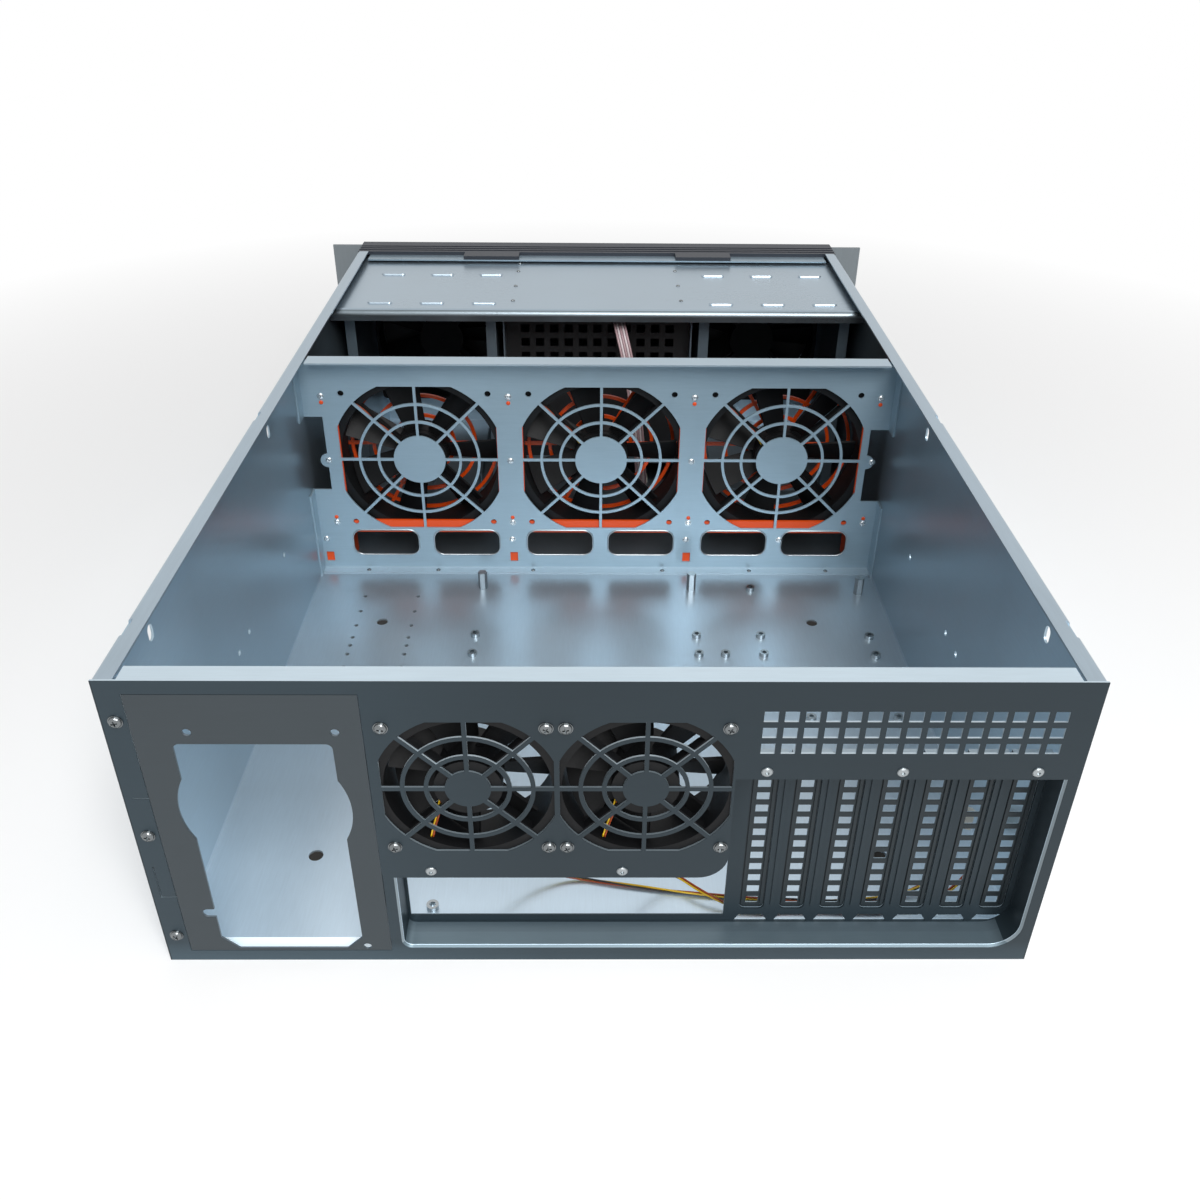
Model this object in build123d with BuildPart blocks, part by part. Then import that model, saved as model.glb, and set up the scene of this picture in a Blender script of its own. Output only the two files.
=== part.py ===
from build123d import *

import math
import os

# Lengths are millimetres. X runs across the case as seen from the rear, Y runs from the rear
# panel to the front, Z is up. The origin is at the middle of the bottom face.

# Body
case_width = 430
case_length = 650
case_height = 176
sheet = 1.2
lip_width = 9.3
corner_gap = 1.5
bend_radius = 2
flange = 12
gap = 0.3
running_fit = 0.05
cut_over = 4

# Notches and holes of the body
lip_notch = 13
lip_notch_cut = 2.5
lip_notch_depths = (case_length * 0.061, case_length * 0.414)
wall_slot_width = 6
wall_slot_height = 9
wall_slot_level = 157
wall_slot_shares = (0.0954, 0.4415)
wall_bore_radius = 2
wall_bore_level = 69.5
wall_bore_shares = (0.254, 0.288, 0.427)
floor_bore_radius = 4
floor_bore_x = 156.8
floor_bore_shares = (0.106, 0.456)
drive_bore_radius = 1.5
drive_bore_x = 154.9
drive_bore_spacing = 39.7
drive_bore_shares = (0.372, 0.395, 0.411, 0.426, 0.449, 0.477, 0.508)

# Board posts: across and along shares of the body, seen from the rear left
post_radius = 3.2
post_bore = 1.6
post_height = 3
post_shares = (
    (-0.2035, 0.049), (-0.2035, 0.287), (0.165, 0.287), (0.321, 0.287), (0.453, 0.287),
    (-0.2035, 0.394), (0.165, 0.394), (0.208, 0.394), (0.271, 0.394), (0.453, 0.392),
    (-0.2035, 0.4295), (0.165, 0.4285), (0.272, 0.4285), (0.453, 0.427), (0.272, 0.524),
)
tall_post_across = 6
tall_post_height = 14
tall_post_shares = ((-0.2025, 0.527), (0.1665, 0.5255), (0.4617, 0.517))

# Rear panel
rear_lip = 10.6
recess_depth = 16
recess_low = 10
recess_right = 208.5
recess_left = -97
recess_rim = 1.3
rim_angle = 45
recess_corner_small = 4
recess_corner_large = 14
io_width = 158.75
io_height = 44.45
io_margin = 1.3
io_sill = 4.3
rail_lip = 4
rail_flange = 9
slot_count = 7
slot_pitch = 20.32
slot_first = 77.1
slot_width = 12.6
slot_top = 121.3
slot_low = 19
slot_corner = 3
ledge_width = 17.5
ledge_height = 4.7
ledge_angle = 60
bead_width = 2
bead_height = 0.8
vent_pitch = 8.98
vent_columns = 15
vent_rows = 3
vent_width = 6.3
vent_height = 5.9
vent_level = 148.2
vent_shift = 1.85

# Lanced slits left of the power supply window
tab_reach = 7.5
tab_level = 109.5
slit_width = 0.8
slit_height = 21
slit_level = 55.5

# Power supply window and plate
psu_window_width = 100.2
psu_window_height = 162
psu_window_x = -153.4
psu_window_low = 7
psu_hole_tall = 138
psu_hole_wide = 64
psu_hole_short = 114
psu_hole_radius = 2
psu_hole_x = -147.4
psu_hole_low = 10
psu_slot_reach = 6
psu_slot_height = 5.7
psu_cut_width = 69.6
psu_cut_height = 133
psu_cut_shift = -4.8
psu_cut_low = 8.5
psu_cut_corner = 3
psu_cut_chamfer = 8
psu_bulge_radius = 39.3
psu_bulge_level = 102
psu_tongue = 3

# Slot covers
cover_sheet = 1
cover_width = 18.4
cover_foot = 3
cover_tongue = 10
cover_tab = 11
cover_hole_width = 6.2
cover_hole_height = 5
cover_hole_pitch = 7.84
cover_hole_count = 11
cover_hole_low = 24.2
cover_rib_width = 1.4
cover_rib_height = 0.8
cover_rib_offset = 4.7

# Fasteners
screw_radius = 3.3
screw_height = 2
rivet_radius = 2.6
rivet_height = 1.2
rear_rivet_shares = (-0.186, 0.0244)
shelf_rivet_shares = (0.172, 0.313, 0.4537)
psu_screw_inset = 5
psu_screw_shares = (0.106, 0.491, 0.876)

# Fans
rear_fan_size = 80
rear_fan_depth = 25
rear_fan_pitch = 71.5
rear_fan_duct = 38
rear_fan_hub = 15.5
rear_fan_x = -19.7
rear_fan_level = 115.1
wall_fan_size = 120
wall_fan_depth = 25
wall_fan_pitch = 105
wall_fan_duct = 58
wall_fan_hub = 20
fan_corner = 4
fan_hole = 2.2
fan_strut = 3.5
fan_strut_count = 4
motor_base = 5
shaft_radius = 1.5
axial_gap = 1
tip_gap = 1
blade_count = 7
blade_thick = 1.6
blade_angle = 33
blade_root_share = 0.6

# Stamped grilles
grille_rib = 2
rear_grille_radius = 42.2
rear_grille_half = 38.8
rear_grille_disc = 10.4
rear_grille_rings = (19.8, 30.4)
wall_grille_radius = 63.5
wall_grille_half = 57.8
wall_grille_disc = 19.1
wall_grille_rings = (31.2, 45)
spoke_bars = 4

# Fan wall and its modules
wall_depth = 370
wall_lip = 12.6
wall_foot = 8
module_pitch = 134.2
module_x = 2.4
module_level = 96
cable_slot_width = 50
cable_slot_height = 21.5
cable_slot_corner = 7
cable_slot_offset = 31.3
cable_slot_level = 25.1
side_opening_reach = 14.3
side_opening_height = 59.3
side_opening_levels = (100.6, 91.9)
side_tab_radius = 5.5
side_tab_level = 95
latch_width = 6
latch_height = 8.3
latch_level = 12.3
carrier_wall = 2.2
carrier_lip = 2
carrier_lip_half = 57.4
carrier_lip_low = 10.3
carrier_rib = 1
carrier_rib_width = 6
guard_ring_radii = (24, 40, 56)
guard_rib = 2.4
guard_spokes = 3
guard_thick = 2
guide_height = 150
guide_foot = 20
guide_foot_reach = 8.6
guide_groove_depth = 1.5
guide_notch_drop = 18
wall_screw_levels = (43, 95.5, 146.5)
wall_low_screw_level = 28.3
wall_low_screw_shares = (-0.4856, -0.1526, 0.159, 0.327)

# Drive area
cover_depth = 487
cover_level = 168.8
cover_roll = 9
cover_roll_radius = 5
dimple_length = 20
dimple_width = 5
dimple_height = 1
dimple_taper = 25
dimple_pitch = 42
dimple_first = 100
dimple_depths = (505, 580)
dimple_shift = 8
cage_depth = 505
cage_width = 120.8
cage_x = 144.8
cage_flange = 7
cage_rail = 10
bay_width = 149
bay_height = 127.5
bay_low = 28
bay_cage_width = 155
screen_rows = 4
screen_columns = 11
screen_hole = 7
screen_pitch = 12
screen_setback = 12

# Front
skirt_length = 22
front_flange = 36
skirt_drop = 5
front_sheet = 1.5
bezel_depth = 12
bezel_wall = 3
skirt_groove = 1
skirt_groove_width = 3
skirt_groove_pitch = 6
skirt_groove_count = 3
clip_width = 49
clip_length = 13
clip_thick = 3
clip_x = 94.5
louvre_count = 9
louvre_width = 108
louvre_height = 8
louvre_pitch = 13
ear_reach = 26.3
ear_sheet = 2.5
ear_leg = 30
ear_slot_width = 10
ear_slot_height = 6.8
rack_hole_pitch = 465.1
rack_hole_rise = 101.6
handle_x = 229
handle_radius = 4.5
handle_span = 76
handle_reach = 38
handle_corner = 12
door_width = 405
door_thick = 8
door_margin = 7
door_gap = 0.6
door_skin = 2.5
door_slot_count = 7
door_slot_width = 96
door_slot_height = 4
door_slot_pitch = 14
hinge_pin = 2
hinge_lug = 7
lug_gap = 0.4
lug_clearance = 3
lock_radius = 7
lock_inset = 20
lock_rim = 1
key_width = 1.4
key_length = 7
key_depth = 2
button_radius = 5
button_proud = 1
button_travel = 1.5
button_levels = (60, 84)

# Leads
lead_radius = 1.1
plug_width = 8
plug_thick = 5
plug_length = 11
ribbon_width = 10
ribbon_thick = 1.6
ribbon_plug_width = 12
ribbon_plug_thick = 4
arc_share = 0.45

rear_y = -case_length / 2
inner_x = case_width / 2 - sheet
slot_block_left = rear_fan_x + rear_fan_size
io_left = recess_left + io_margin
io_low = recess_low + io_sill
window_top = io_low + io_height
cover_low = slot_low - cover_foot
shelf_level = slot_top + sheet
module_front = wall_depth + sheet + gap
fan_seat = module_front + carrier_lip
carrier_half = wall_fan_size / 2 + gap + carrier_wall
front_back = case_length - front_sheet
bezel_front = case_length + bezel_depth
hinge_x = -door_width / 2 + door_thick / 2
hinge_y = bezel_front + door_gap + door_thick / 2

os.makedirs("parts", exist_ok=True)


def rear_plane(depth=0):
    """Upright plane facing the rear, a given depth in from the rear face: sketch x is X, y is Z."""
    return Plane.XZ.offset(-(rear_y + depth))


def save(piece, name):
    piece.label = name
    export_step(piece, f"parts/{name}.step")


def turned(piece, x, depth, level):
    """A copy of a piece made around the Z axis, with its axis turned along the case."""
    with BuildPart() as copy:
        with Locations(Location((x, rear_y + depth, level), (-90, 0, 0))):
            add(piece)
    return copy.part


def moved(piece, x, depth, level):
    """A copy of a piece that was made upright at the origin."""
    with BuildPart() as copy:
        with Locations((x, rear_y + depth, level)):
            add(piece)
    return copy.part


def heads(places, plane, radius, height):
    """Low round heads of screws or rivets, seated on a plane."""
    with BuildPart() as group:
        with BuildSketch(plane):
            with Locations(*places):
                Circle(radius)
        extrude(amount=height)
    return group.part


def grille_cells(radius, half, disc, rings):
    """Open cells of a stamped grille: a clipped circle less its disc, rings and spokes."""
    with BuildSketch() as ribs:
        for ring in sorted(rings, reverse=True):
            Circle(ring)
            Circle(ring - grille_rib, mode=Mode.SUBTRACT)
        Circle(disc)
        for bar in range(spoke_bars):
            Rectangle(2 * radius, grille_rib, rotation=bar * 180 / spoke_bars)
    with BuildSketch() as cells:
        Circle(radius)
        Rectangle(2 * half, 2 * half, mode=Mode.INTERSECT)
        add(ribs.sketch, mode=Mode.SUBTRACT)
    return cells.sketch


def build_chassis_body():
    """Floor, side walls and inward lips, folded from one sheet."""
    length = case_length - sheet - front_sheet
    with BuildPart() as body:
        with BuildSketch(rear_plane(sheet)):
            with Locations((0, case_height / 2)):
                Rectangle(case_width, case_height)
                Rectangle(case_width - 2 * sheet, case_height - 2 * sheet, mode=Mode.SUBTRACT)
            with Locations((0, case_height)):
                Rectangle(case_width - 2 * lip_width, 2 * cut_over, mode=Mode.SUBTRACT)
        extrude(amount=-length)
        outer = body.edges().filter_by(Axis.Y).sort_by(Axis.X)
        fillet(outer.filter_by_position(Axis.X, -case_width, gap - case_width / 2), bend_radius)
        outer = body.edges().filter_by(Axis.Y).sort_by(Axis.X)
        fillet(outer.filter_by_position(Axis.X, case_width / 2 - gap, case_width), bend_radius)
        # The walls step down under the skirt of the bezel
        with BuildSketch(rear_plane(case_length - skirt_length)):
            with Locations((0, case_height)):
                Rectangle(2 * case_width, 2 * skirt_drop)
        extrude(amount=-2 * skirt_length, mode=Mode.SUBTRACT)
        # Notches in the folded corner of the lips
        for depth in lip_notch_depths:
            with BuildSketch(rear_plane(depth - lip_notch / 2)):
                with Locations((-case_width / 2, case_height), (case_width / 2, case_height)):
                    Rectangle(2 * lip_notch_cut, 2 * lip_notch_cut)
            extrude(amount=-lip_notch, mode=Mode.SUBTRACT)
        # Holes through both side walls
        with BuildSketch(Plane.YZ):
            for share in wall_slot_shares:
                with Locations((rear_y + share * case_length, wall_slot_level)):
                    SlotOverall(wall_slot_height, wall_slot_width, rotation=90)
            for share in wall_bore_shares:
                with Locations((rear_y + share * case_length, wall_bore_level)):
                    Circle(wall_bore_radius)
        extrude(amount=case_width, both=True, mode=Mode.SUBTRACT)
        # Holes in the floor
        with BuildSketch(Plane.XY):
            for share in floor_bore_shares:
                for side in (-1, 1):
                    with Locations((side * floor_bore_x, rear_y + share * case_length)):
                        Circle(floor_bore_radius)
            for share in drive_bore_shares:
                with Locations((-drive_bore_x, rear_y + share * case_length)):
                    with GridLocations(drive_bore_spacing, 0, 2, 1):
                        Circle(drive_bore_radius)
        extrude(amount=sheet, mode=Mode.SUBTRACT)
    return body.part


def recess_face(grow):
    """L-shaped face of the drawn recess, grown by the sheet at its walls for the outside."""
    left = recess_left - grow
    right = recess_right + grow
    low = recess_low - grow
    with BuildSketch() as face:
        with BuildLine():
            Polyline(
                (left, low),
                (right, low),
                (right, slot_top),
                (slot_block_left, slot_top),
                (slot_block_left, window_top),
                (left, window_top),
                close=True,
            )
        make_face()
        fillet(face.vertices().sort_by_distance((left, low, 0))[:1], recess_corner_small + grow)
        fillet(face.vertices().sort_by_distance((right, low, 0))[:1], recess_corner_large + grow)
        crook = face.vertices().sort_by_distance((slot_block_left, window_top, 0))[:1]
        fillet(crook, recess_corner_large)
    return face.sketch


def slot_places(level):
    return [(slot_first + n * slot_pitch, level) for n in range(slot_count)]


def fan_places():
    half = rear_fan_size / 2
    return [(rear_fan_x - half, rear_fan_level), (rear_fan_x + half, rear_fan_level)]


def build_rear_panel():
    """Drawn rear sheet with its grilles, vents, recess, slots and folded edges."""
    lip_span = case_width - 2 * (lip_width + corner_gap)
    slots_middle = slot_first + (slot_count - 1) * slot_pitch / 2
    vents_x = slots_middle - (slot_pitch - slot_width) / 2 + vent_shift
    with BuildPart() as panel:
        with BuildSketch(rear_plane()):
            with Locations((0, case_height / 2)):
                Rectangle(case_width, case_height)
        extrude(amount=-sheet)
        with BuildSketch(rear_plane()):
            with Locations((0, case_height - sheet / 2)):
                Rectangle(lip_span, sheet)
        extrude(amount=-rear_lip)
        # Side flanges that lie against the body's walls, and the flange on its floor
        with BuildSketch(rear_plane()):
            for side in (-1, 1):
                with Locations((side * (inner_x - sheet / 2), case_height / 2)):
                    Rectangle(sheet, case_height - 4 * flange)
            with Locations((0, 3 * sheet / 2)):
                Rectangle(case_width - 4 * flange, sheet)
        extrude(amount=-flange)
        # Drawn recess, open above where the rail and the shelf close it
        with BuildSketch(rear_plane()):
            add(recess_face(sheet))
        extrude(amount=-recess_depth - sheet)
        with BuildSketch(rear_plane()):
            add(recess_face(0))
        extrude(amount=-recess_depth, mode=Mode.SUBTRACT)
        with BuildSketch(rear_plane()):
            add(recess_face(recess_rim))
        extrude(amount=-recess_rim, taper=rim_angle, mode=Mode.SUBTRACT)
        # Window for the board's connectors
        with BuildSketch(rear_plane(recess_depth)):
            with Locations((io_left + io_width / 2, io_low + io_height / 2)):
                Rectangle(io_width, io_height)
        extrude(amount=-sheet, mode=Mode.SUBTRACT)
        # Card slots with their round feet, and the ledges under them
        slot_height = slot_top - slot_low
        with BuildSketch(rear_plane(recess_depth)):
            with Locations(*slot_places(slot_low + slot_height / 2 + slot_corner)):
                RectangleRounded(slot_width, slot_height + 2 * slot_corner, slot_corner)
            with Locations(*slot_places(recess_low + ledge_height / 2)):
                Trapezoid(ledge_width, ledge_height, ledge_angle)
        extrude(amount=-sheet, mode=Mode.SUBTRACT)
        # Raised beads between the slots
        with BuildSketch(rear_plane(recess_depth)):
            with Locations((slot_pitch / 2, 0)):
                with Locations(*slot_places(slot_low + slot_height / 2)):
                    Rectangle(bead_width, slot_height - 2 * slot_corner)
        extrude(amount=bead_height)
        # Fan grilles, vents and the window of the power supply
        with BuildSketch(rear_plane()):
            with Locations(*fan_places()):
                add(
                    grille_cells(
                        rear_grille_radius, rear_grille_half, rear_grille_disc, rear_grille_rings
                    )
                )
            with Locations((vents_x, vent_level)):
                with GridLocations(vent_pitch, vent_pitch, vent_columns, vent_rows):
                    Rectangle(vent_width, vent_height)
            with Locations((psu_window_x, psu_window_low + psu_window_height / 2)):
                Rectangle(psu_window_width, psu_window_height)
            window_left = psu_window_x - psu_window_width / 2
            with Locations((window_left, tab_level)):
                Rectangle(tab_reach, slit_width, align=(Align.MAX, Align.CENTER))
            with Locations((window_left - tab_reach, slit_level)):
                Rectangle(slit_width, slit_height, align=(Align.MIN, Align.CENTER))
            with Locations((window_left, slit_level - slit_height / 2)):
                Rectangle(tab_reach, slit_width, align=(Align.MAX, Align.MIN))
        extrude(amount=-sheet, mode=Mode.SUBTRACT)
    return panel.part


def psu_holes():
    """The plate's three round screw places; the fourth screw goes through the side slot."""
    left = psu_hole_x - psu_hole_wide / 2
    right = psu_hole_x + psu_hole_wide / 2
    high = psu_hole_low + psu_hole_tall
    return [(left, high), (right, high), (right, psu_hole_low)]


def build_psu_plate():
    """Power supply plate: flush in its window, with joggled edges behind the panel."""
    width = psu_window_width - 2 * gap
    height = psu_window_height - 2 * gap
    middle = psu_window_low + psu_window_height / 2
    left = psu_window_x - psu_window_width / 2
    right = psu_window_x + psu_window_width / 2
    flange_left = -inner_x + sheet + gap
    cut_x = psu_hole_x + psu_cut_shift
    places = psu_holes()
    slot_place = (cut_x - psu_cut_width / 2, psu_hole_low + psu_hole_tall - psu_hole_short)
    with BuildPart() as plate:
        with BuildSketch(rear_plane()):
            with Locations((psu_window_x, middle)):
                Rectangle(width, height)
        extrude(amount=-sheet)
        with BuildSketch(rear_plane(sheet)):
            with Locations((flange_left, middle)):
                Rectangle(left - flange_left + psu_tongue, height, align=(Align.MIN, Align.CENTER))
            with Locations((right + psu_tongue, middle)):
                with GridLocations(0, height / 2, 1, 2):
                    Rectangle(2 * psu_tongue, height / 8, align=(Align.MAX, Align.CENTER))
        extrude(amount=-sheet)
        with BuildSketch(rear_plane()) as opening:
            with Locations((cut_x, psu_cut_low + psu_cut_height / 2)):
                Rectangle(psu_cut_width, psu_cut_height)
            low = opening.vertices().group_by(Axis.Y)[0]
            chamfer(low, psu_cut_chamfer)
            high = opening.vertices().group_by(Axis.Y)[-1]
            fillet(high, psu_cut_corner)
            with Locations((cut_x, psu_bulge_level)):
                Circle(psu_bulge_radius)
            with Locations(slot_place):
                SlotOverall(2 * psu_slot_reach, psu_slot_height)
            with Locations(*places):
                Circle(psu_hole_radius)
        extrude(amount=-2 * sheet, mode=Mode.SUBTRACT)
    return plate.part


def build_io_rail():
    """Rail riveted behind the fan area, which makes the upper edge of the connector window."""
    left = recess_left - sheet
    right = slot_block_left - recess_corner_large
    width = right - left
    with BuildPart() as rail:
        with BuildSketch(rear_plane(sheet)):
            with Locations((left + width / 2, window_top)):
                Rectangle(width, rail_flange, align=(Align.CENTER, Align.MIN))
        extrude(amount=-sheet)
        with BuildSketch(rear_plane(sheet)):
            with Locations((left + width / 2, window_top)):
                Rectangle(width, sheet, align=(Align.CENTER, Align.MIN))
        extrude(amount=-recess_depth)
        with BuildSketch(rear_plane(recess_depth)):
            with Locations((left + width / 2, window_top)):
                Rectangle(width, rail_lip, align=(Align.CENTER, Align.MIN))
        extrude(amount=-sheet)
    return rail.part


def build_card_shelf():
    """Angle riveted over the slots, on which the tabs of the covers lie."""
    left = slot_block_left + gap
    right = recess_right
    with BuildPart() as shelf:
        with BuildSketch(rear_plane(sheet)):
            with Locations(((left + right) / 2, slot_top)):
                Rectangle(right - left, rail_flange, align=(Align.CENTER, Align.MIN))
        extrude(amount=-sheet)
        with BuildSketch(rear_plane(sheet)):
            with Locations(((left + right) / 2, slot_top)):
                Rectangle(right - left, sheet, align=(Align.CENTER, Align.MIN))
        extrude(amount=-recess_depth)
    return shelf.part


def build_slot_cover(x):
    """Perforated and ribbed cover with a narrow foot and a tab over the shelf."""
    depth = recess_depth + sheet
    top = shelf_level + cover_sheet
    with BuildPart() as cover:
        with BuildSketch(rear_plane(depth)):
            with Locations((x, cover_low)):
                Rectangle(cover_width, top - cover_low, align=(Align.CENTER, Align.MIN))
                Rectangle(cover_tongue, cover_foot, align=(Align.CENTER, Align.MAX))
        extrude(amount=-cover_sheet)
        with BuildSketch(rear_plane(depth + cover_sheet)):
            with Locations((x, shelf_level)):
                Rectangle(cover_width, cover_sheet, align=(Align.CENTER, Align.MIN))
        extrude(amount=cover_tab + cover_sheet)
        # Formed ribs that stand in the slot
        rib_height = cover_hole_count * cover_hole_pitch
        with BuildSketch(rear_plane(depth)):
            with Locations((x, cover_hole_low - cover_hole_height / 2)):
                with GridLocations(2 * cover_rib_offset, 0, 2, 1):
                    Rectangle(cover_rib_width, rib_height, align=(Align.CENTER, Align.MIN))
        extrude(amount=cover_rib_height)
        with BuildSketch(rear_plane(depth)):
            for n in range(cover_hole_count):
                with Locations((x, cover_hole_low + n * cover_hole_pitch)):
                    Rectangle(cover_hole_width, cover_hole_height)
        extrude(amount=-cover_sheet, mode=Mode.SUBTRACT)
    return cover.part


def build_fan_frame(size, depth, duct, hub):
    """Square fan frame around the Z axis, with its struts and motor base at the bottom."""
    with BuildPart() as frame:
        with BuildSketch():
            RectangleRounded(size, size, fan_corner)
            Circle(duct, mode=Mode.SUBTRACT)
        extrude(amount=depth)
        with BuildSketch():
            Circle(hub)
            with PolarLocations(0, fan_strut_count, start_angle=180 / fan_strut_count):
                Rectangle(duct + sheet, fan_strut, align=(Align.MIN, Align.CENTER))
            Circle(shaft_radius + running_fit, mode=Mode.SUBTRACT)
        extrude(amount=motor_base)
    return frame.part


def build_fan_rotor(depth, duct, hub):
    """Hub with its shaft and pitched blades that widen outwards, around the Z axis."""
    low = motor_base + axial_gap
    high = depth - axial_gap
    middle = (low + high) / 2
    tip = duct - tip_gap
    root = hub - blade_thick
    rise = high - low - 2 * blade_thick
    tip_chord = rise / math.sin(math.radians(blade_angle))
    with BuildPart() as blade:
        for radius, chord in ((root, blade_root_share * tip_chord), (duct, tip_chord)):
            section = Plane(origin=(radius, 0, middle), x_dir=(0, 1, 0), z_dir=(1, 0, 0))
            with BuildSketch(section):
                Rectangle(chord, blade_thick, rotation=blade_angle)
        loft()
        with BuildSketch():
            Circle(tip)
        extrude(amount=depth, mode=Mode.INTERSECT)
    with BuildPart() as rotor:
        with BuildSketch(Plane.XY.offset(low)):
            Circle(hub)
        extrude(amount=high - low)
        with BuildSketch(Plane.XY.offset(axial_gap)):
            Circle(shaft_radius)
        extrude(amount=low)
        with PolarLocations(0, blade_count):
            add(blade.part)
    return rotor.part


def module_places():
    """Across places of the three modules."""
    return [module_x + n * module_pitch for n in (-1, 0, 1)]


def guide_places():
    return [module_x + (n - 3 / 2) * module_pitch for n in range(4)]


def build_fan_wall():
    """Cross wall, a shallow pan with its flanges folded to the rear."""
    height = case_height - sheet
    lip_span = case_width - 2 * (lip_width + corner_gap)
    cells = grille_cells(
        wall_grille_radius, wall_grille_half, wall_grille_disc, wall_grille_rings
    )
    with BuildPart() as wall:
        with BuildSketch(rear_plane(wall_depth)):
            with Locations((0, sheet)):
                Rectangle(2 * inner_x, height - 2 * sheet, align=(Align.CENTER, Align.MIN))
            with Locations((0, case_height)):
                Rectangle(lip_span, 4 * sheet, align=(Align.CENTER, Align.MAX))
        extrude(amount=-sheet)
        with BuildSketch(rear_plane(wall_depth)):
            with Locations((0, case_height)):
                Rectangle(lip_span, sheet, align=(Align.CENTER, Align.MAX))
        extrude(amount=wall_lip)
        with BuildSketch(rear_plane(wall_depth)):
            with Locations((0, sheet)):
                Rectangle(2 * inner_x, sheet, align=(Align.CENTER, Align.MIN))
        extrude(amount=wall_foot)
        with BuildSketch(rear_plane(wall_depth)):
            for side in (-1, 1):
                with Locations((side * (inner_x - sheet / 2), sheet)):
                    Rectangle(sheet, height - 2 * sheet, align=(Align.CENTER, Align.MIN))
        extrude(amount=flange)
        # Grilles, the empty screw holes around them and the slots for cables
        with BuildSketch(rear_plane(wall_depth)):
            for x in module_places():
                with Locations((x, module_level)):
                    add(cells)
                    with GridLocations(wall_fan_pitch, wall_fan_pitch, 2, 2):
                        Circle(fan_hole)
                with Locations((x, cable_slot_level)):
                    with GridLocations(2 * cable_slot_offset, 0, 2, 1):
                        RectangleRounded(cable_slot_width, cable_slot_height, cable_slot_corner)
            # Latch windows over the feet of the guide posts
            with Locations(*[(x, latch_level) for x in guide_places()[1:3]]):
                Rectangle(latch_width, latch_height)
            with Locations((guide_places()[0] - guide_foot_reach, latch_level)):
                Rectangle(latch_width, latch_height)
        extrude(amount=-sheet, mode=Mode.SUBTRACT)
        # Openings at both ends, through wall and flange
        for side, level in zip((-1, 1), side_opening_levels):
            with BuildSketch(rear_plane(wall_depth + sheet)):
                with Locations((side * inner_x, level)):
                    Rectangle(2 * side_opening_reach, side_opening_height)
            extrude(amount=flange + 2 * sheet, mode=Mode.SUBTRACT)
            with BuildSketch(rear_plane(wall_depth)):
                with Locations((side * (inner_x - side_opening_reach), side_tab_level)):
                    Circle(side_tab_radius)
            extrude(amount=-sheet)
    return wall.part


def build_fan_guide(foot=False, notch=None, notch_level=0):
    """Grooved post beside a module, around x 0, with a foot or a notch behind a side opening."""
    half = module_pitch / 2 - carrier_half - gap
    depth = wall_fan_depth + carrier_lip
    groove = carrier_rib_width + 2 * gap
    with BuildPart() as guide:
        with BuildSketch(Plane.XY.offset(sheet)):
            with Locations((0, depth / 2)):
                Rectangle(2 * half, depth)
            with Locations((-half, depth / 2), (half, depth / 2)):
                Rectangle(2 * guide_groove_depth, groove, mode=Mode.SUBTRACT)
        extrude(amount=guide_height)
        top = guide.faces().sort_by(Axis.Z)[-1]
        chamfer(top.edges().filter_by(Axis.X).group_by(Axis.Y)[0], guide_groove_depth)
        if foot:
            with BuildSketch(Plane.XY.offset(sheet)):
                with Locations((-half, 0)):
                    Rectangle(guide_foot_reach, depth / 2, align=(Align.MAX, Align.MIN))
            extrude(amount=guide_foot)
        if notch:
            low = notch_level - side_opening_height / 2 - guide_notch_drop
            with BuildSketch(Plane.XY.offset(low)):
                with Locations((-half, 0)):
                    Rectangle(notch, depth, align=Align.MIN)
            extrude(amount=side_opening_height + guide_notch_drop, mode=Mode.SUBTRACT)
    return guide.part


def build_fan_carrier():
    """Lift-out carrier around a fan: lip, sides, shelf, top and finger guard; y 0 is its rear."""
    half = carrier_half
    floor = -(module_level - sheet - gap)
    depth = carrier_lip + wall_fan_depth + guard_thick
    with BuildPart() as carrier:
        # Sides run down to the floor and carry the guide ribs
        with BuildSketch(Plane.XY.offset(floor)):
            for side in (-1, 1):
                with Locations((side * (half - carrier_wall / 2), depth / 2)):
                    Rectangle(carrier_wall, depth)
                with Locations((side * (half + carrier_rib / 2), (depth - guard_thick) / 2 - gap)):
                    Rectangle(carrier_rib, carrier_rib_width)
        extrude(amount=half - floor)
        with BuildSketch(Plane.XZ):
            with Locations((0, half - carrier_wall / 2), (0, carrier_wall / 2 - half)):
                Rectangle(2 * half, carrier_wall)
        extrude(amount=-depth)
        # Lip over the rear edge of the fan, taller at the bottom
        with BuildSketch(Plane.XZ):
            Rectangle(2 * half, 2 * half)
            with Locations((0, carrier_lip_low - half)):
                Rectangle(
                    2 * carrier_lip_half,
                    carrier_lip_half + half - carrier_lip_low,
                    align=(Align.CENTER, Align.MIN),
                    mode=Mode.SUBTRACT,
                )
        extrude(amount=-carrier_lip)
        # Finger guard at the front
        with BuildSketch(Plane.XZ.offset(guard_thick - depth)):
            for ring in sorted(guard_ring_radii, reverse=True):
                Circle(ring)
                Circle(ring - guard_rib, mode=Mode.SUBTRACT)
            for bar in range(guard_spokes):
                Rectangle(2 * half, guard_rib, rotation=bar * 180 / guard_spokes)
        extrude(amount=-guard_thick)
    return carrier.part


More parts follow.
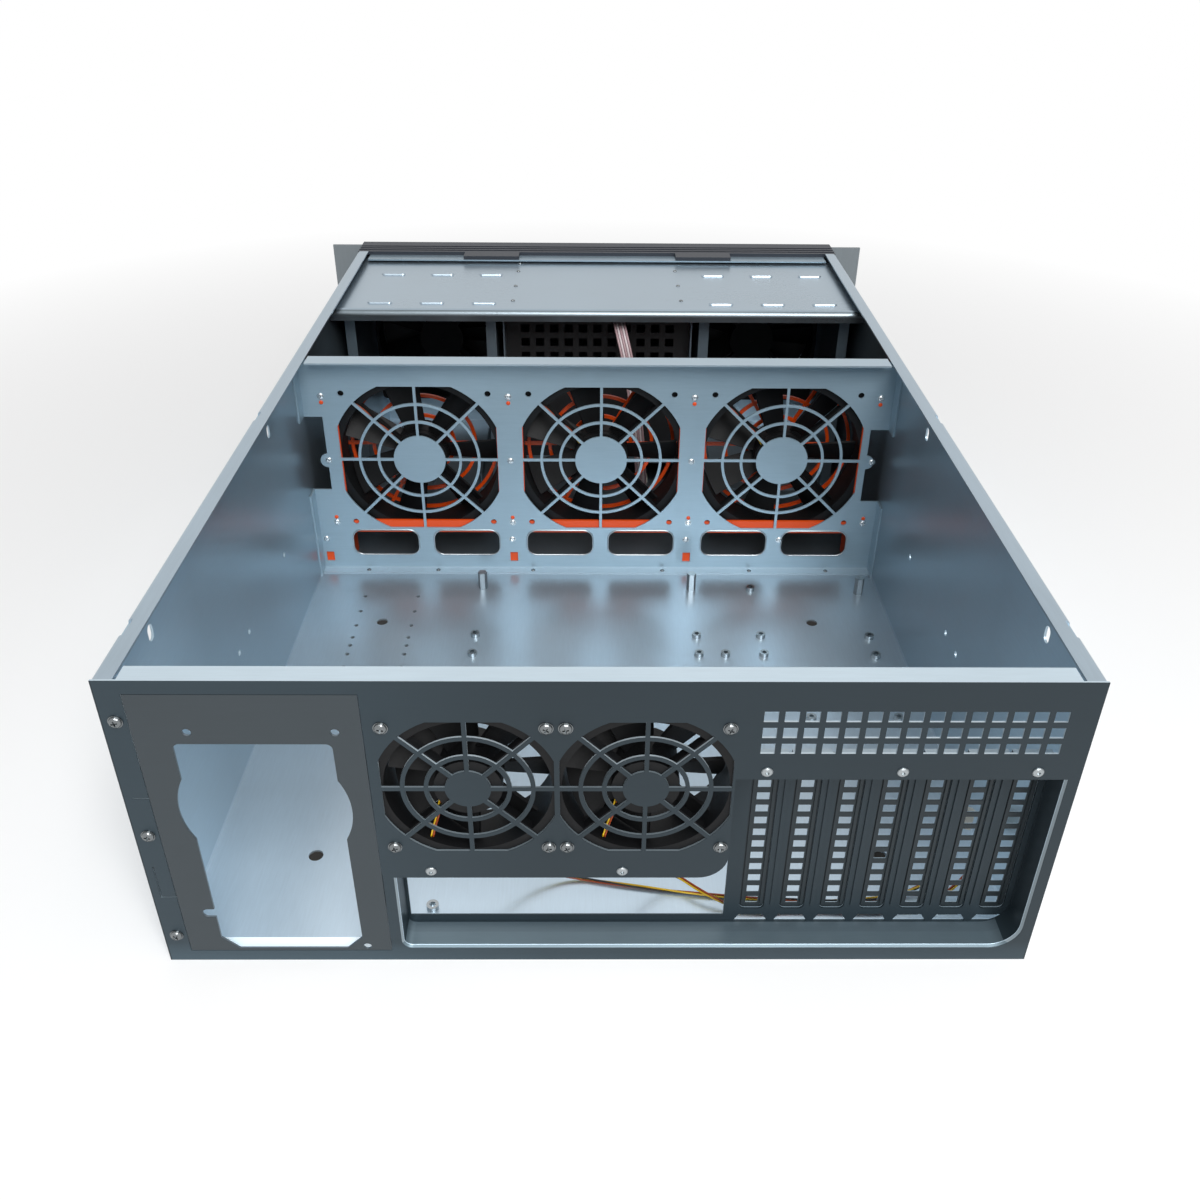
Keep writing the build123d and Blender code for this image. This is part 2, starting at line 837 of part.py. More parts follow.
def build_bay_cover():
    """Plate over the drive area, with a rolled rear edge, a front lip and raised dimples."""
    length = case_length - skirt_length / 2 - cover_depth
    width = 2 * inner_x - 2 * gap
    with BuildPart() as cover:
        with BuildSketch(Plane.XY.offset(cover_level)):
            with Locations((0, rear_y + cover_depth)):
                Rectangle(width, length, align=(Align.CENTER, Align.MIN))
        extrude(amount=sheet)
        with BuildSketch(rear_plane(cover_depth)):
            with Locations((0, cover_level + sheet)):
                Rectangle(width, cover_roll, align=(Align.CENTER, Align.MAX))
        extrude(amount=-sheet)
        rear_edges = cover.edges().filter_by(Axis.X).group_by(Axis.Y)
        fillet(rear_edges[1].sort_by(Axis.Z)[-1:], cover_roll_radius - sheet)
        fillet(rear_edges[0].sort_by(Axis.Z)[-1:], cover_roll_radius)
        with BuildSketch(Plane.XY.offset(cover_level + sheet)):
            for middle in (dimple_shift - dimple_first - dimple_pitch, dimple_first + dimple_pitch):
                for depth in dimple_depths:
                    with Locations((middle, rear_y + depth)):
                        with GridLocations(dimple_pitch, 0, 3, 1):
                            SlotOverall(dimple_length, dimple_width)
        extrude(amount=dimple_height, taper=dimple_taper)
    return cover.part


def build_drive_cage(side):
    """Tall cage between floor and cover plate, open at both ends, with rails for three drives."""
    low = sheet
    height = cover_level - low
    length = front_back - cage_depth
    x = side * cage_x
    with BuildPart() as cage:
        with BuildSketch(rear_plane(cage_depth)):
            with Locations((x, low + height / 2)):
                Rectangle(cage_width + 2 * sheet, height)
                Rectangle(cage_width, height - 2 * sheet, mode=Mode.SUBTRACT)
        extrude(amount=-length)
        # Folded edges at the rear
        with BuildSketch(rear_plane(cage_depth)):
            with Locations((x, low + height / 2)):
                Rectangle(cage_width + 2 * sheet, height)
                Rectangle(cage_width - 2 * cage_flange, height - 2 * sheet, mode=Mode.SUBTRACT)
        extrude(amount=-sheet)
        # Rails that stand up from the bottom, one pair to a drive
        with BuildSketch(rear_plane(cage_depth + cage_flange)):
            with Locations((x, low + sheet)):
                with GridLocations(dimple_pitch, 0, 3, 1):
                    Rectangle(sheet, cage_rail, align=(Align.CENTER, Align.MIN))
        extrude(amount=-(length - wall_fan_depth - 2 * cage_flange))
    return cage.part


def build_bay_cage():
    """Middle cage for wide drives: two side sheets joined by a shelf."""
    length = front_back - cage_depth
    height = cover_level - sheet
    with BuildPart() as cage:
        with BuildSketch(rear_plane(cage_depth)):
            with Locations((0, sheet + height / 2)):
                with GridLocations(bay_cage_width - sheet, 0, 2, 1):
                    Rectangle(sheet, height)
            with Locations((0, bay_low)):
                Rectangle(bay_cage_width, sheet, align=(Align.CENTER, Align.MAX))
            with Locations((0, sheet)):
                with GridLocations(bay_cage_width - cage_flange, 0, 2, 1):
                    Rectangle(cage_flange, sheet, align=(Align.CENTER, Align.MIN))
        extrude(amount=-length)
    return cage.part


def build_bay_screen():
    """Perforated plate across the back of the middle cage."""
    width = bay_cage_width - 2 * sheet
    height = cover_level - bay_low
    rows_top = bay_low + height - screen_pitch
    rows_middle = rows_top - (screen_rows - 1) * screen_pitch / 2
    with BuildPart() as screen:
        with BuildSketch(rear_plane(cage_depth + screen_setback)):
            with Locations((0, bay_low + height / 2)):
                Rectangle(width, height)
            with Locations((0, rows_middle)):
                with GridLocations(screen_pitch, screen_pitch, screen_columns, screen_rows):
                    Rectangle(screen_hole, screen_hole, mode=Mode.SUBTRACT)
        extrude(amount=-sheet)
    return screen.part


def build_front_panel():
    """Steel front sheet with openings for both fans and the middle bays."""
    height = case_height - skirt_drop - gap
    with BuildPart() as panel:
        with BuildSketch(rear_plane(front_back)):
            with Locations((0, height / 2)):
                Rectangle(case_width, height)
            with Locations((-cage_x, module_level), (cage_x, module_level)):
                Circle(wall_fan_duct, mode=Mode.SUBTRACT)
            with Locations((0, bay_low + bay_height / 2)):
                Rectangle(bay_width, bay_height, mode=Mode.SUBTRACT)
        extrude(amount=-front_sheet)
        # Upper flange, folded back under the skirt and the clips of the bezel
        top = case_height - bezel_wall
        lip_span = case_width - 2 * (lip_width + corner_gap)
        with BuildSketch(rear_plane(front_back)):
            with Locations((0, top)):
                Rectangle(lip_span, 2 * skirt_drop, align=(Align.CENTER, Align.MAX))
        extrude(amount=-front_sheet)
        with BuildSketch(rear_plane(case_length)):
            with Locations((0, top)):
                Rectangle(lip_span, sheet, align=(Align.CENTER, Align.MAX))
        extrude(amount=front_flange)
    return panel.part


def build_front_filters():
    """Foam filters that fill the fan openings of the front panel, against the bezel."""
    with BuildPart() as filters:
        with BuildSketch(rear_plane(front_back)):
            with Locations((-cage_x, module_level), (cage_x, module_level)):
                Circle(wall_fan_duct - gap)
        extrude(amount=-front_sheet)
    return filters.part


def build_rack_ear(side):
    """Angled ear outside a side wall, with two open rack slots and three rivets."""
    wall = side * case_width / 2
    with BuildPart() as ear:
        with BuildSketch(rear_plane(case_length - ear_sheet)):
            with Locations((wall + side * ear_reach / 2, case_height / 2)):
                Rectangle(ear_reach, case_height)
            with Locations((side * rack_hole_pitch / 2, case_height / 2)):
                with GridLocations(0, rack_hole_rise, 1, 2):
                    SlotOverall(ear_slot_width, ear_slot_height, mode=Mode.SUBTRACT)
        extrude(amount=-ear_sheet)
        with BuildSketch(rear_plane(case_length - ear_leg)):
            with Locations((wall + side * sheet / 2, case_height / 2)):
                Rectangle(sheet, case_height - 2 * skirt_length)
        extrude(amount=-ear_leg)
        with BuildSketch(Plane.YZ.offset(wall + side * sheet)):
            with Locations((rear_y + case_length - 2 * ear_leg / 3, case_height / 2)):
                with GridLocations(0, case_height / 3, 1, 3):
                    Circle(rivet_radius)
        extrude(amount=side * rivet_height)
    return ear.part


def build_handle(side):
    """Round bow handle that stands on the front of an ear."""
    foot_y = rear_y + case_length
    low = (case_height - handle_span) / 2
    high = low + handle_span
    outer_y = foot_y + handle_reach
    with BuildPart() as handle:
        with BuildLine(Plane.YZ.offset(side * handle_x)) as bow:
            FilletPolyline(
                (foot_y, low), (outer_y, low), (outer_y, high), (foot_y, high), radius=handle_corner
            )
        with BuildSketch(Plane.XZ.offset(-foot_y)):
            with Locations((side * handle_x, low)):
                Circle(handle_radius)
        sweep(path=bow.line)
    return handle.part


def build_front_bezel():
    """Moulded bezel: louvred over the fans, open over the bays, with a grooved top skirt."""
    with BuildPart() as bezel:
        with BuildSketch(rear_plane(case_length)):
            with Locations((0, case_height / 2)):
                Rectangle(case_width, case_height)
            with Locations((-cage_x, module_level), (cage_x, module_level)):
                with GridLocations(0, louvre_pitch, 1, louvre_count):
                    Rectangle(louvre_width, louvre_height, mode=Mode.SUBTRACT)
            with Locations((0, bay_low + bay_height / 2)):
                Rectangle(bay_width, bay_height, mode=Mode.SUBTRACT)
            for level in button_levels:
                with Locations((button_x(), level)):
                    Circle(button_radius + running_fit, mode=Mode.SUBTRACT)
        extrude(amount=-bezel_depth)
        front_edges = bezel.faces().sort_by(Axis.Y)[-1].outer_wire().edges()
        chamfer(front_edges, bezel_wall)
        # Skirt that reaches back over the front of the case, with its grooves
        with BuildSketch(rear_plane(case_length)):
            with Locations((0, case_height)):
                Rectangle(case_width, bezel_wall, align=(Align.CENTER, Align.MAX))
        extrude(amount=skirt_length)
        with BuildSketch(Plane.XY.offset(case_height)):
            with Locations((0, rear_y + case_length - skirt_length / 2)):
                with GridLocations(0, skirt_groove_pitch, 1, skirt_groove_count):
                    Rectangle(case_width, skirt_groove_width)
        extrude(amount=-skirt_groove, mode=Mode.SUBTRACT)
        # Two clips that lie on the cover plate
        with BuildSketch(rear_plane(case_length - skirt_length)):
            with Locations((0, case_height)):
                with GridLocations(2 * clip_x, 0, 2, 1):
                    Rectangle(clip_width, clip_thick, align=(Align.CENTER, Align.MAX))
        extrude(amount=clip_length)
        # Hinge lugs for the pins of the door
        for low in lug_levels():
            with BuildSketch(Plane.XY.offset(low)):
                with Locations((hinge_x, rear_y + hinge_y)):
                    Circle(hinge_pin + lug_gap * 4)
                    Rectangle(
                        2 * (hinge_pin + lug_gap * 4),
                        hinge_y - bezel_front,
                        align=(Align.CENTER, Align.MAX),
                    )
                    Circle(hinge_pin + running_fit, mode=Mode.SUBTRACT)
            extrude(amount=hinge_lug)
    return bezel.part


def button_x():
    """The buttons stand between the middle bays and the right louvres."""
    return (bay_width / 2 + cage_x - louvre_width / 2) / 2


def lug_levels():
    """Undersides of the lower and the upper hinge lug."""
    return (door_margin, case_height - door_margin - hinge_lug)


def build_front_door():
    """Door with a rounded hinge edge, a hollow back, air slots, hinge pins and a bore for the lock."""
    low = door_margin
    height = case_height - 2 * door_margin
    right = door_width / 2
    axis = (hinge_x, rear_y + hinge_y)
    with BuildPart() as door:
        with BuildSketch(Plane.XY.offset(low)):
            with Locations(axis):
                Circle(door_thick / 2)
                Rectangle(right - hinge_x, door_thick, align=(Align.MIN, Align.CENTER))
        extrude(amount=height)
        outer_edges = door.faces().sort_by(Axis.Y)[-1].outer_wire().edges().filter_by(Axis.X)
        chamfer(outer_edges, door_skin / 2)
        # Hollow back
        back = hinge_y - door_thick / 2
        margin = 2 * door_thick
        with BuildSketch(rear_plane(back)):
            with Locations((hinge_x / 2 + right / 2, case_height / 2)):
                Rectangle(right - hinge_x - 2 * margin, height - 2 * margin)
                with Locations((right - (hinge_x + right) / 2 - lock_inset, 0)):
                    Rectangle(4 * lock_radius, 4 * lock_radius, mode=Mode.SUBTRACT)
        extrude(amount=-(door_thick - door_skin), mode=Mode.SUBTRACT)
        # Air slots before both fans
        with BuildSketch(rear_plane(back)):
            with Locations((-cage_x, module_level), (cage_x, module_level)):
                with GridLocations(0, door_slot_pitch, 1, door_slot_count):
                    Rectangle(door_slot_width, door_slot_height)
            with Locations((right - lock_inset, case_height / 2)):
                Circle(lock_radius + running_fit)
        extrude(amount=-door_thick, mode=Mode.SUBTRACT)
        # Room for the lugs, and the pins that turn in them
        for lug in lug_levels():
            with BuildSketch(Plane.XY.offset(lug - lug_gap)):
                with Locations(axis):
                    Rectangle(2 * (door_thick / 2 + lug_clearance), 2 * door_thick)
            extrude(amount=hinge_lug + 2 * lug_gap, mode=Mode.SUBTRACT)
        with BuildSketch(Plane.XY.offset(door_margin + lug_gap)):
            with Locations(axis):
                Circle(hinge_pin)
        extrude(amount=height - 2 * lug_gap)
    return door.part


def build_door_lock():
    """Lock barrel with its rim and key slot, turned in the door."""
    back = hinge_y - door_thick / 2
    with BuildPart() as lock:
        with BuildSketch(rear_plane(back)):
            with Locations((door_width / 2 - lock_inset, case_height / 2)):
                Circle(lock_radius)
        extrude(amount=-(door_thick + lock_rim))
        with BuildSketch(rear_plane(back + door_thick + lock_rim)):
            with Locations((door_width / 2 - lock_inset, case_height / 2)):
                Rectangle(key_width, key_length)
        extrude(amount=key_depth, mode=Mode.SUBTRACT)
    return lock.part


def build_button(level):
    """Round push button that stands proud of the bezel."""
    with BuildPart() as button:
        with BuildSketch(rear_plane(case_length + button_travel + gap)):
            with Locations((button_x(), level)):
                Circle(button_radius)
        extrude(amount=-(bezel_depth - button_travel - gap + button_proud))
    return button.part


def build_board_posts():
    """Threaded board posts pressed into the floor, twelve or so short and three tall."""
    with BuildPart() as posts:
        with BuildSketch(Plane.XY.offset(sheet)):
            for across, along in post_shares:
                with Locations((across * case_width, rear_y + along * case_length)):
                    Circle(post_radius)
                    Circle(post_bore, mode=Mode.SUBTRACT)
        extrude(amount=post_height)
        with BuildSketch(Plane.XY.offset(sheet)):
            for across, along in tall_post_shares:
                with Locations((across * case_width, rear_y + along * case_length)):
                    RegularPolygon(tall_post_across / 2, 6, major_radius=False)
        extrude(amount=tall_post_height)
    return posts.part


# Routes, chosen by hand: across, in from the rear face, and up
left_lead_points = (
    (-79.7, 22, 75.1), (-79.7, 22, 62), (-70, 32, 42), (-50, 46, 18), (-20, 53, 2.4),
    (14, 46.5, 2.4), (48, 40.5, 2.4), (86, 37, 2.4), (126, 34.8, 2.4), (166, 39, 2.6),
    (190, 52, 14), (194.5, 60, 32),
)
right_lead_points = (
    (0.3, 22, 75.1), (0.3, 22, 62), (8, 33, 42), (22, 47, 20), (40, 50, 7.4),
    (56, 36, 7.4), (78, 27.5, 2.4), (112, 29, 2.4), (148, 27, 2.4), (180, 34, 3.2),
    (202, 48, 16), (206, 57, 34),
)
ribbon_points = (
    (17, 517, 157), (17, 502, 157), (20, 489, 148), (24, 482, 133), (28, 479, 111),
    (32, 480, 86), (35, 478, 61), (37, 475, 38), (38, 478, 18), (38.6, 488, 6.8),
    (39, 503, 3.3), (39.3, 515, 3.1),
)


def lead_route(points):
    """Straight runs joined by tangent arcs, each as large as its two runs allow."""
    corners = [Vector(x, rear_y + depth, level) for x, depth, level in points]
    runs = [after - before for before, after in zip(corners, corners[1:])]
    radii = []
    for before, after in zip(runs, runs[1:]):
        half_turn = math.radians(before.get_angle(after)) / 2
        radii.append(arc_share * min(before.length, after.length) / math.tan(half_turn))
    print("radii", [round(radius, 1) for radius in radii])
    with BuildLine() as route:
        FilletPolyline(*corners, radius=radii)
    return route.line


def report_sweep(piece, section, route):
    length = sum(edge.length for edge in route.edges())
    share = piece.volume / (section * length)
    print("length", round(length, 1), "volume share", round(share, 4))


def build_lead(points):
    """Bundle of three thin wires, as one round tube."""
    route = lead_route(points)
    with BuildPart() as lead:
        with BuildSketch(Plane(origin=route @ 0, z_dir=route % 0)):
            Circle(lead_radius)
        sweep(path=route)
    report_sweep(lead.part, math.pi * lead_radius**2, route)
    return lead.part


def build_ribbon(points):
    """Flat lead of five wires side by side."""
    route = lead_route(points)
    with BuildPart() as ribbon:
        with BuildSketch(Plane(origin=route @ 0, x_dir=(1, 0, 0), z_dir=route % 0)):
            Rectangle(ribbon_width, ribbon_thick)
        sweep(path=route)
    report_sweep(ribbon.part, ribbon_width * ribbon_thick, route)
    return ribbon.part


def build_plug(points, width, thick, shift=0):
    """Small housing on the far end of a lead, shifted off its centre if it lies on the floor."""
    route = lead_route(points)
    end = Plane(origin=route @ 1, x_dir=(1, 0, 0), z_dir=route % 1)
    with BuildPart() as plug:
        with BuildSketch(end):
            with Locations((0, shift)):
                Rectangle(width, thick)
        extrude(amount=plug_length)
    return plug.part


def main():
    save(build_chassis_body(), "chassis_body")
    save(build_rear_panel(), "rear_panel")
    save(build_psu_plate(), "psu_plate")
    save(build_io_rail(), "io_rail")
    save(build_card_shelf(), "card_shelf")
    for number, (x, _) in enumerate(slot_places(slot_top), 1):
        save(build_slot_cover(x), f"slot_cover_{number}")

    # Screws of the supply plate, rear fans and slot covers, then the rivets and wall screws
    strip_x = psu_window_x - psu_window_width / 2 - psu_screw_inset
    half = rear_fan_pitch / 2
    places = [(strip_x, share * case_height) for share in psu_screw_shares]
    places += [(x + a * half, z + b * half) for x, z in fan_places() for a in (-1, 1) for b in (-1, 1)]
    tab_y = rear_y + recess_depth - cover_tab / 2
    tab_places = [(x + cover_width / 4, tab_y) for x, _ in slot_places(slot_top)]
    tab_plane = Plane.XY.offset(shelf_level + cover_sheet)
    with BuildPart() as pan_screws:
        add(heads(places, rear_plane(), screw_radius, screw_height))
        add(heads(tab_places, tab_plane, screw_radius, screw_height))
    save(pan_screws.part, "pan_screws")
    places = [(share * case_width, window_top + rail_flange / 2) for share in rear_rivet_shares]
    places += [(share * case_width, slot_top + rail_flange / 2) for share in shelf_rivet_shares]
    save(heads(places, rear_plane(), rivet_radius, rivet_height), "rear_rivets")
    places = [(x, level) for x in guide_places() for level in wall_screw_levels]
    places += [(share * case_width, wall_low_screw_level) for share in wall_low_screw_shares]
    save(heads(places, rear_plane(wall_depth), rivet_radius, rivet_height), "fan_wall_screws")

    # Rear fans
    frame = build_fan_frame(rear_fan_size, rear_fan_depth, rear_fan_duct, rear_fan_hub)
    rotor = build_fan_rotor(rear_fan_depth, rear_fan_duct, rear_fan_hub)
    for (x, level), name in zip(fan_places(), ("left", "right")):
        save(turned(frame, x, sheet, level), f"rear_fan_frame_{name}")
        save(turned(rotor, x, sheet, level), f"rear_fan_rotor_{name}")

    # Fan wall, posts and modules
    save(build_fan_wall(), "fan_wall")
    opening_edge = side_opening_reach - inner_x
    post_edge = guide_places()[0] - module_pitch / 2 + carrier_half + gap
    guides = (
        build_fan_guide(
            foot=True, notch=opening_edge - post_edge, notch_level=side_opening_levels[0]
        ),
        build_fan_guide(),
        build_fan_guide(),
        build_fan_guide(notch=module_pitch - 2 * carrier_half, notch_level=side_opening_levels[1]),
    )
    for number, (guide, x) in enumerate(zip(guides, guide_places()), 1):
        save(moved(guide, x, wall_depth + sheet, 0), f"fan_guide_{number}")
    frame = build_fan_frame(wall_fan_size, wall_fan_depth, wall_fan_duct, wall_fan_hub)
    rotor = build_fan_rotor(wall_fan_depth, wall_fan_duct, wall_fan_hub)
    carrier = build_fan_carrier()
    for number, x in enumerate(module_places(), 1):
        save(moved(carrier, x, module_front, module_level), f"fan_carrier_{number}")
        save(turned(frame, x, fan_seat, module_level), f"fan_frame_{number}")
        save(turned(rotor, x, fan_seat, module_level), f"fan_rotor_{number}")

    # Drive area and the fans behind the front
    save(build_bay_cover(), "bay_cover")
    save(build_bay_cage(), "bay_cage")
    save(build_bay_screen(), "bay_screen")
    for side, name in ((-1, "left"), (1, "right")):
        save(build_drive_cage(side), f"drive_cage_{name}")
        depth = front_back - wall_fan_depth
        save(turned(frame, side * cage_x, depth, module_level), f"front_fan_frame_{name}")
        save(turned(rotor, side * cage_x, depth, module_level), f"front_fan_rotor_{name}")
        save(build_rack_ear(side), f"rack_ear_{name}")
        save(build_handle(side), f"handle_{name}")

    # Front
    save(build_front_panel(), "front_panel")
    save(build_front_filters(), "front_filters")
    save(build_front_bezel(), "front_bezel")
    save(build_front_door(), "front_door")
    save(build_door_lock(), "door_lock")
    save(build_button(button_levels[1]), "power_button")
    save(build_button(button_levels[0]), "reset_button")
    save(build_board_posts(), "board_posts")

    # Leads and their plugs
    for name, points in (("left", left_lead_points), ("right", right_lead_points)):
        save(build_lead(points), f"rear_fan_lead_{name}")
        save(build_plug(points, plug_width, plug_thick), f"rear_fan_plug_{name}")
    save(build_ribbon(ribbon_points), "drive_lead")
    lift = (ribbon_thick - ribbon_plug_thick) / 2
    save(build_plug(ribbon_points, ribbon_plug_width, ribbon_plug_thick, lift), "drive_lead_plug")


main()
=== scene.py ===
# %% [markdown]
# # A rackmount server case, dressed
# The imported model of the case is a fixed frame: every sheet, fan and post is in its place and
# has its size. This file gives each of them a finish, adds the small metal parts that are too
# fine for the frame, and lays the fan leads. All lengths are metres.

# %% Load the frame
import math

import bmesh
import bpy
from mathutils import Matrix, Vector


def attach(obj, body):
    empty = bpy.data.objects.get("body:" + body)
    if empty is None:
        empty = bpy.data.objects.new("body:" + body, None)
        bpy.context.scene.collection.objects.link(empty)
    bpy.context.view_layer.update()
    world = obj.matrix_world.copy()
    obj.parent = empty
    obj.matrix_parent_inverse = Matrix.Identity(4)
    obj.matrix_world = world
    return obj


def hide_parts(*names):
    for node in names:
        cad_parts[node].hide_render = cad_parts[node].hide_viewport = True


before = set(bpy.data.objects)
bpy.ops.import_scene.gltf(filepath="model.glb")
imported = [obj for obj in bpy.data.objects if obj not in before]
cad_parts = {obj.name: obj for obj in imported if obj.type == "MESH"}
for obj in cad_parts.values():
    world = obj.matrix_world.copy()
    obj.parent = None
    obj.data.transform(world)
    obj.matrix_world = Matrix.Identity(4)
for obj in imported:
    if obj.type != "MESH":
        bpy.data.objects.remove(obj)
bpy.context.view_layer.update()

MM = 0.001
REAR = -325 * MM
HALF_WIDTH = 215 * MM

# %% [markdown]
# ## Camera
# The photograph looks down at the rear of the case from nearby, less than half a metre above
# the floor that the case stands on. A camera is a position, three directions and a lens. The
# directions come from lining up known corners of the case with their places in the picture, so
# the rotation is written as the camera's own right, up and forward directions instead of three
# angles.

# %% Place the camera
camera_place = Vector((-0.00456, -0.69629, 0.46367))
camera_right = Vector((0.999941, -0.007331, 0.007965))
camera_up = Vector((-0.002896, 0.527761, 0.849388))
camera_forward = Vector((0.01043, 0.849361, -0.527709))

camera = bpy.data.objects.new("camera", bpy.data.cameras.new("camera"))
bpy.context.scene.collection.objects.link(camera)
directions = Matrix((camera_right, camera_up, -camera_forward)).transposed()
camera.matrix_world = Matrix.Translation(camera_place) @ directions.to_4x4()
camera.data.sensor_fit = "HORIZONTAL"
camera.data.sensor_width = 36
camera.data.lens = 33.3285
camera.data.shift_x = -0.00244
camera.data.shift_y = -0.0276
camera.data.clip_start = 0.01
bpy.context.scene.camera = camera
print("lens", camera.data.lens)

# %% [markdown]
# ## Two helpers for colours and nodes
# Colours are easiest to read as hex values, as on a screen, but shaders count in linear light,
# so one function turns one into the other. A material is a small graph. One function adds a
# node to it: it sets the node's properties and its sockets, and joins its inputs to outputs
# that exist already.

# %% Colour and node helpers
def colour(hex_value):
    """sRGB hex, such as '#8FA3AD', as linear RGBA."""
    channels = [int(hex_value[place:place + 2], 16) / 255 for place in (1, 3, 5)]
    linear = [c / 12.92 if c <= 0.04045 else ((c + 0.055) / 1.055) ** 2.4 for c in channels]
    return (*linear, 1.0)


def add_node(tree, kind, values=None, links=None, **settings):
    """One node with its properties (settings), its sockets (values) and its incoming links."""
    made = tree.nodes.new(kind)
    for name, value in settings.items():
        setattr(made, name, value)
    for name, value in (values or {}).items():
        made.inputs[name].default_value = value
    for name, output in (links or {}).items():
        tree.links.new(output, made.inputs[name])
    return made


def new_material(name):
    """An empty node material with its Principled shader and the place of its texture."""
    material = bpy.data.materials.new(name)
    material.use_nodes = True
    tree = material.node_tree
    shader = tree.nodes["Principled BSDF"]
    place = add_node(tree, "ShaderNodeTexCoord").outputs["Object"]
    return material, tree, shader, place


print("white is", [round(value, 3) for value in colour("#FFFFFF")])

# %% [markdown]
# ## Galvanised steel
# The sheets are cold-rolled steel with an electro-plated zinc skin. The zinc has no large
# crystals, only a satin lustre with faint streaks along the rolling direction and soft cloudy
# patches from handling. So the roughness and the tint follow two noises: one pulled out long
# for the streaks, and one broad for the clouds. The streaks are really a few hundredths of a
# millimetre wide, and are drawn about a millimetre wide so that they show.
#
# Zinc is also half a mirror. Where the case stood the room was dark at the height of the case
# and bright above it, so upright sheets look dark and every flange that looks up looks pale. No
# such room is built here, so these reflections are painted into the colour. A sheet has one tint
# for its upright part, a painted dark reflection where it is darker than bare zinc, and zones of
# the case, each between two depths and two levels, have a painted pale reflection on its flanges
# and a painted highlight on its cut edges, or keep the bare zinc on faces turned inwards. A ramp
# paints the sheet paler or darker along the case: a painted sheen where the shine runs over it,
# and painted shade behind the fan wall.

# %% Zones and ramps on a sheet
def zone(tree, parts, depths, levels):
    """1 between two depths from the rear face and two levels, in millimetres, and 0 outside."""
    inside = []
    for axis, (low, high), start in (("Y", depths, REAR), ("Z", levels, 0.0)):
        inside.append(add_node(tree, "ShaderNodeMath", operation="COMPARE",
                               values={1: start + (low + high) / 2 * MM,
                                       2: (high - low) / 2 * MM},
                               links={0: parts[axis]}).outputs[0])
    return add_node(tree, "ShaderNodeMath", operation="MULTIPLY",
                    links={0: inside[0], 1: inside[1]}).outputs[0]


def ramp_along(tree, parts, axis, stops):
    """Painted sheen and shade along stops, each a place in millimetres and a factor of up to 2.
    """
    start = {"X": -HALF_WIDTH, "Y": REAR, "Z": 0.0}[axis]
    last = stops[-1][0]
    share = add_node(tree, "ShaderNodeMapRange", links={"Value": parts[axis]},
                     values={"From Min": start, "From Max": start + last * MM})
    ramp = add_node(tree, "ShaderNodeValToRGB", links={"Fac": share.outputs["Result"]})
    elements = ramp.color_ramp.elements
    while len(elements) < len(stops):
        elements.new(1.0)
    for element, (place, factor) in zip(elements, stops):
        element.position = place / last
        element.color = (factor / 2, factor / 2, factor / 2, 1.0)
    doubled = add_node(tree, "ShaderNodeVectorMath", operation="SCALE", values={"Scale": 2.0},
                       links={0: ramp.outputs["Color"]})
    return doubled.outputs["Vector"]


# The ramps' painted sheen and shade end within the side walls' thickness, so that their
# outer faces keep one tint.
ramp_half_width = 214.3 * MM
# Depths and levels of the flanges at the top, whose tint, painted for the light they reflect,
# goes over the zones and the ramps
lip_zone = ((0.3, 700), (174.5, 180))
print("zones and ramps ready")

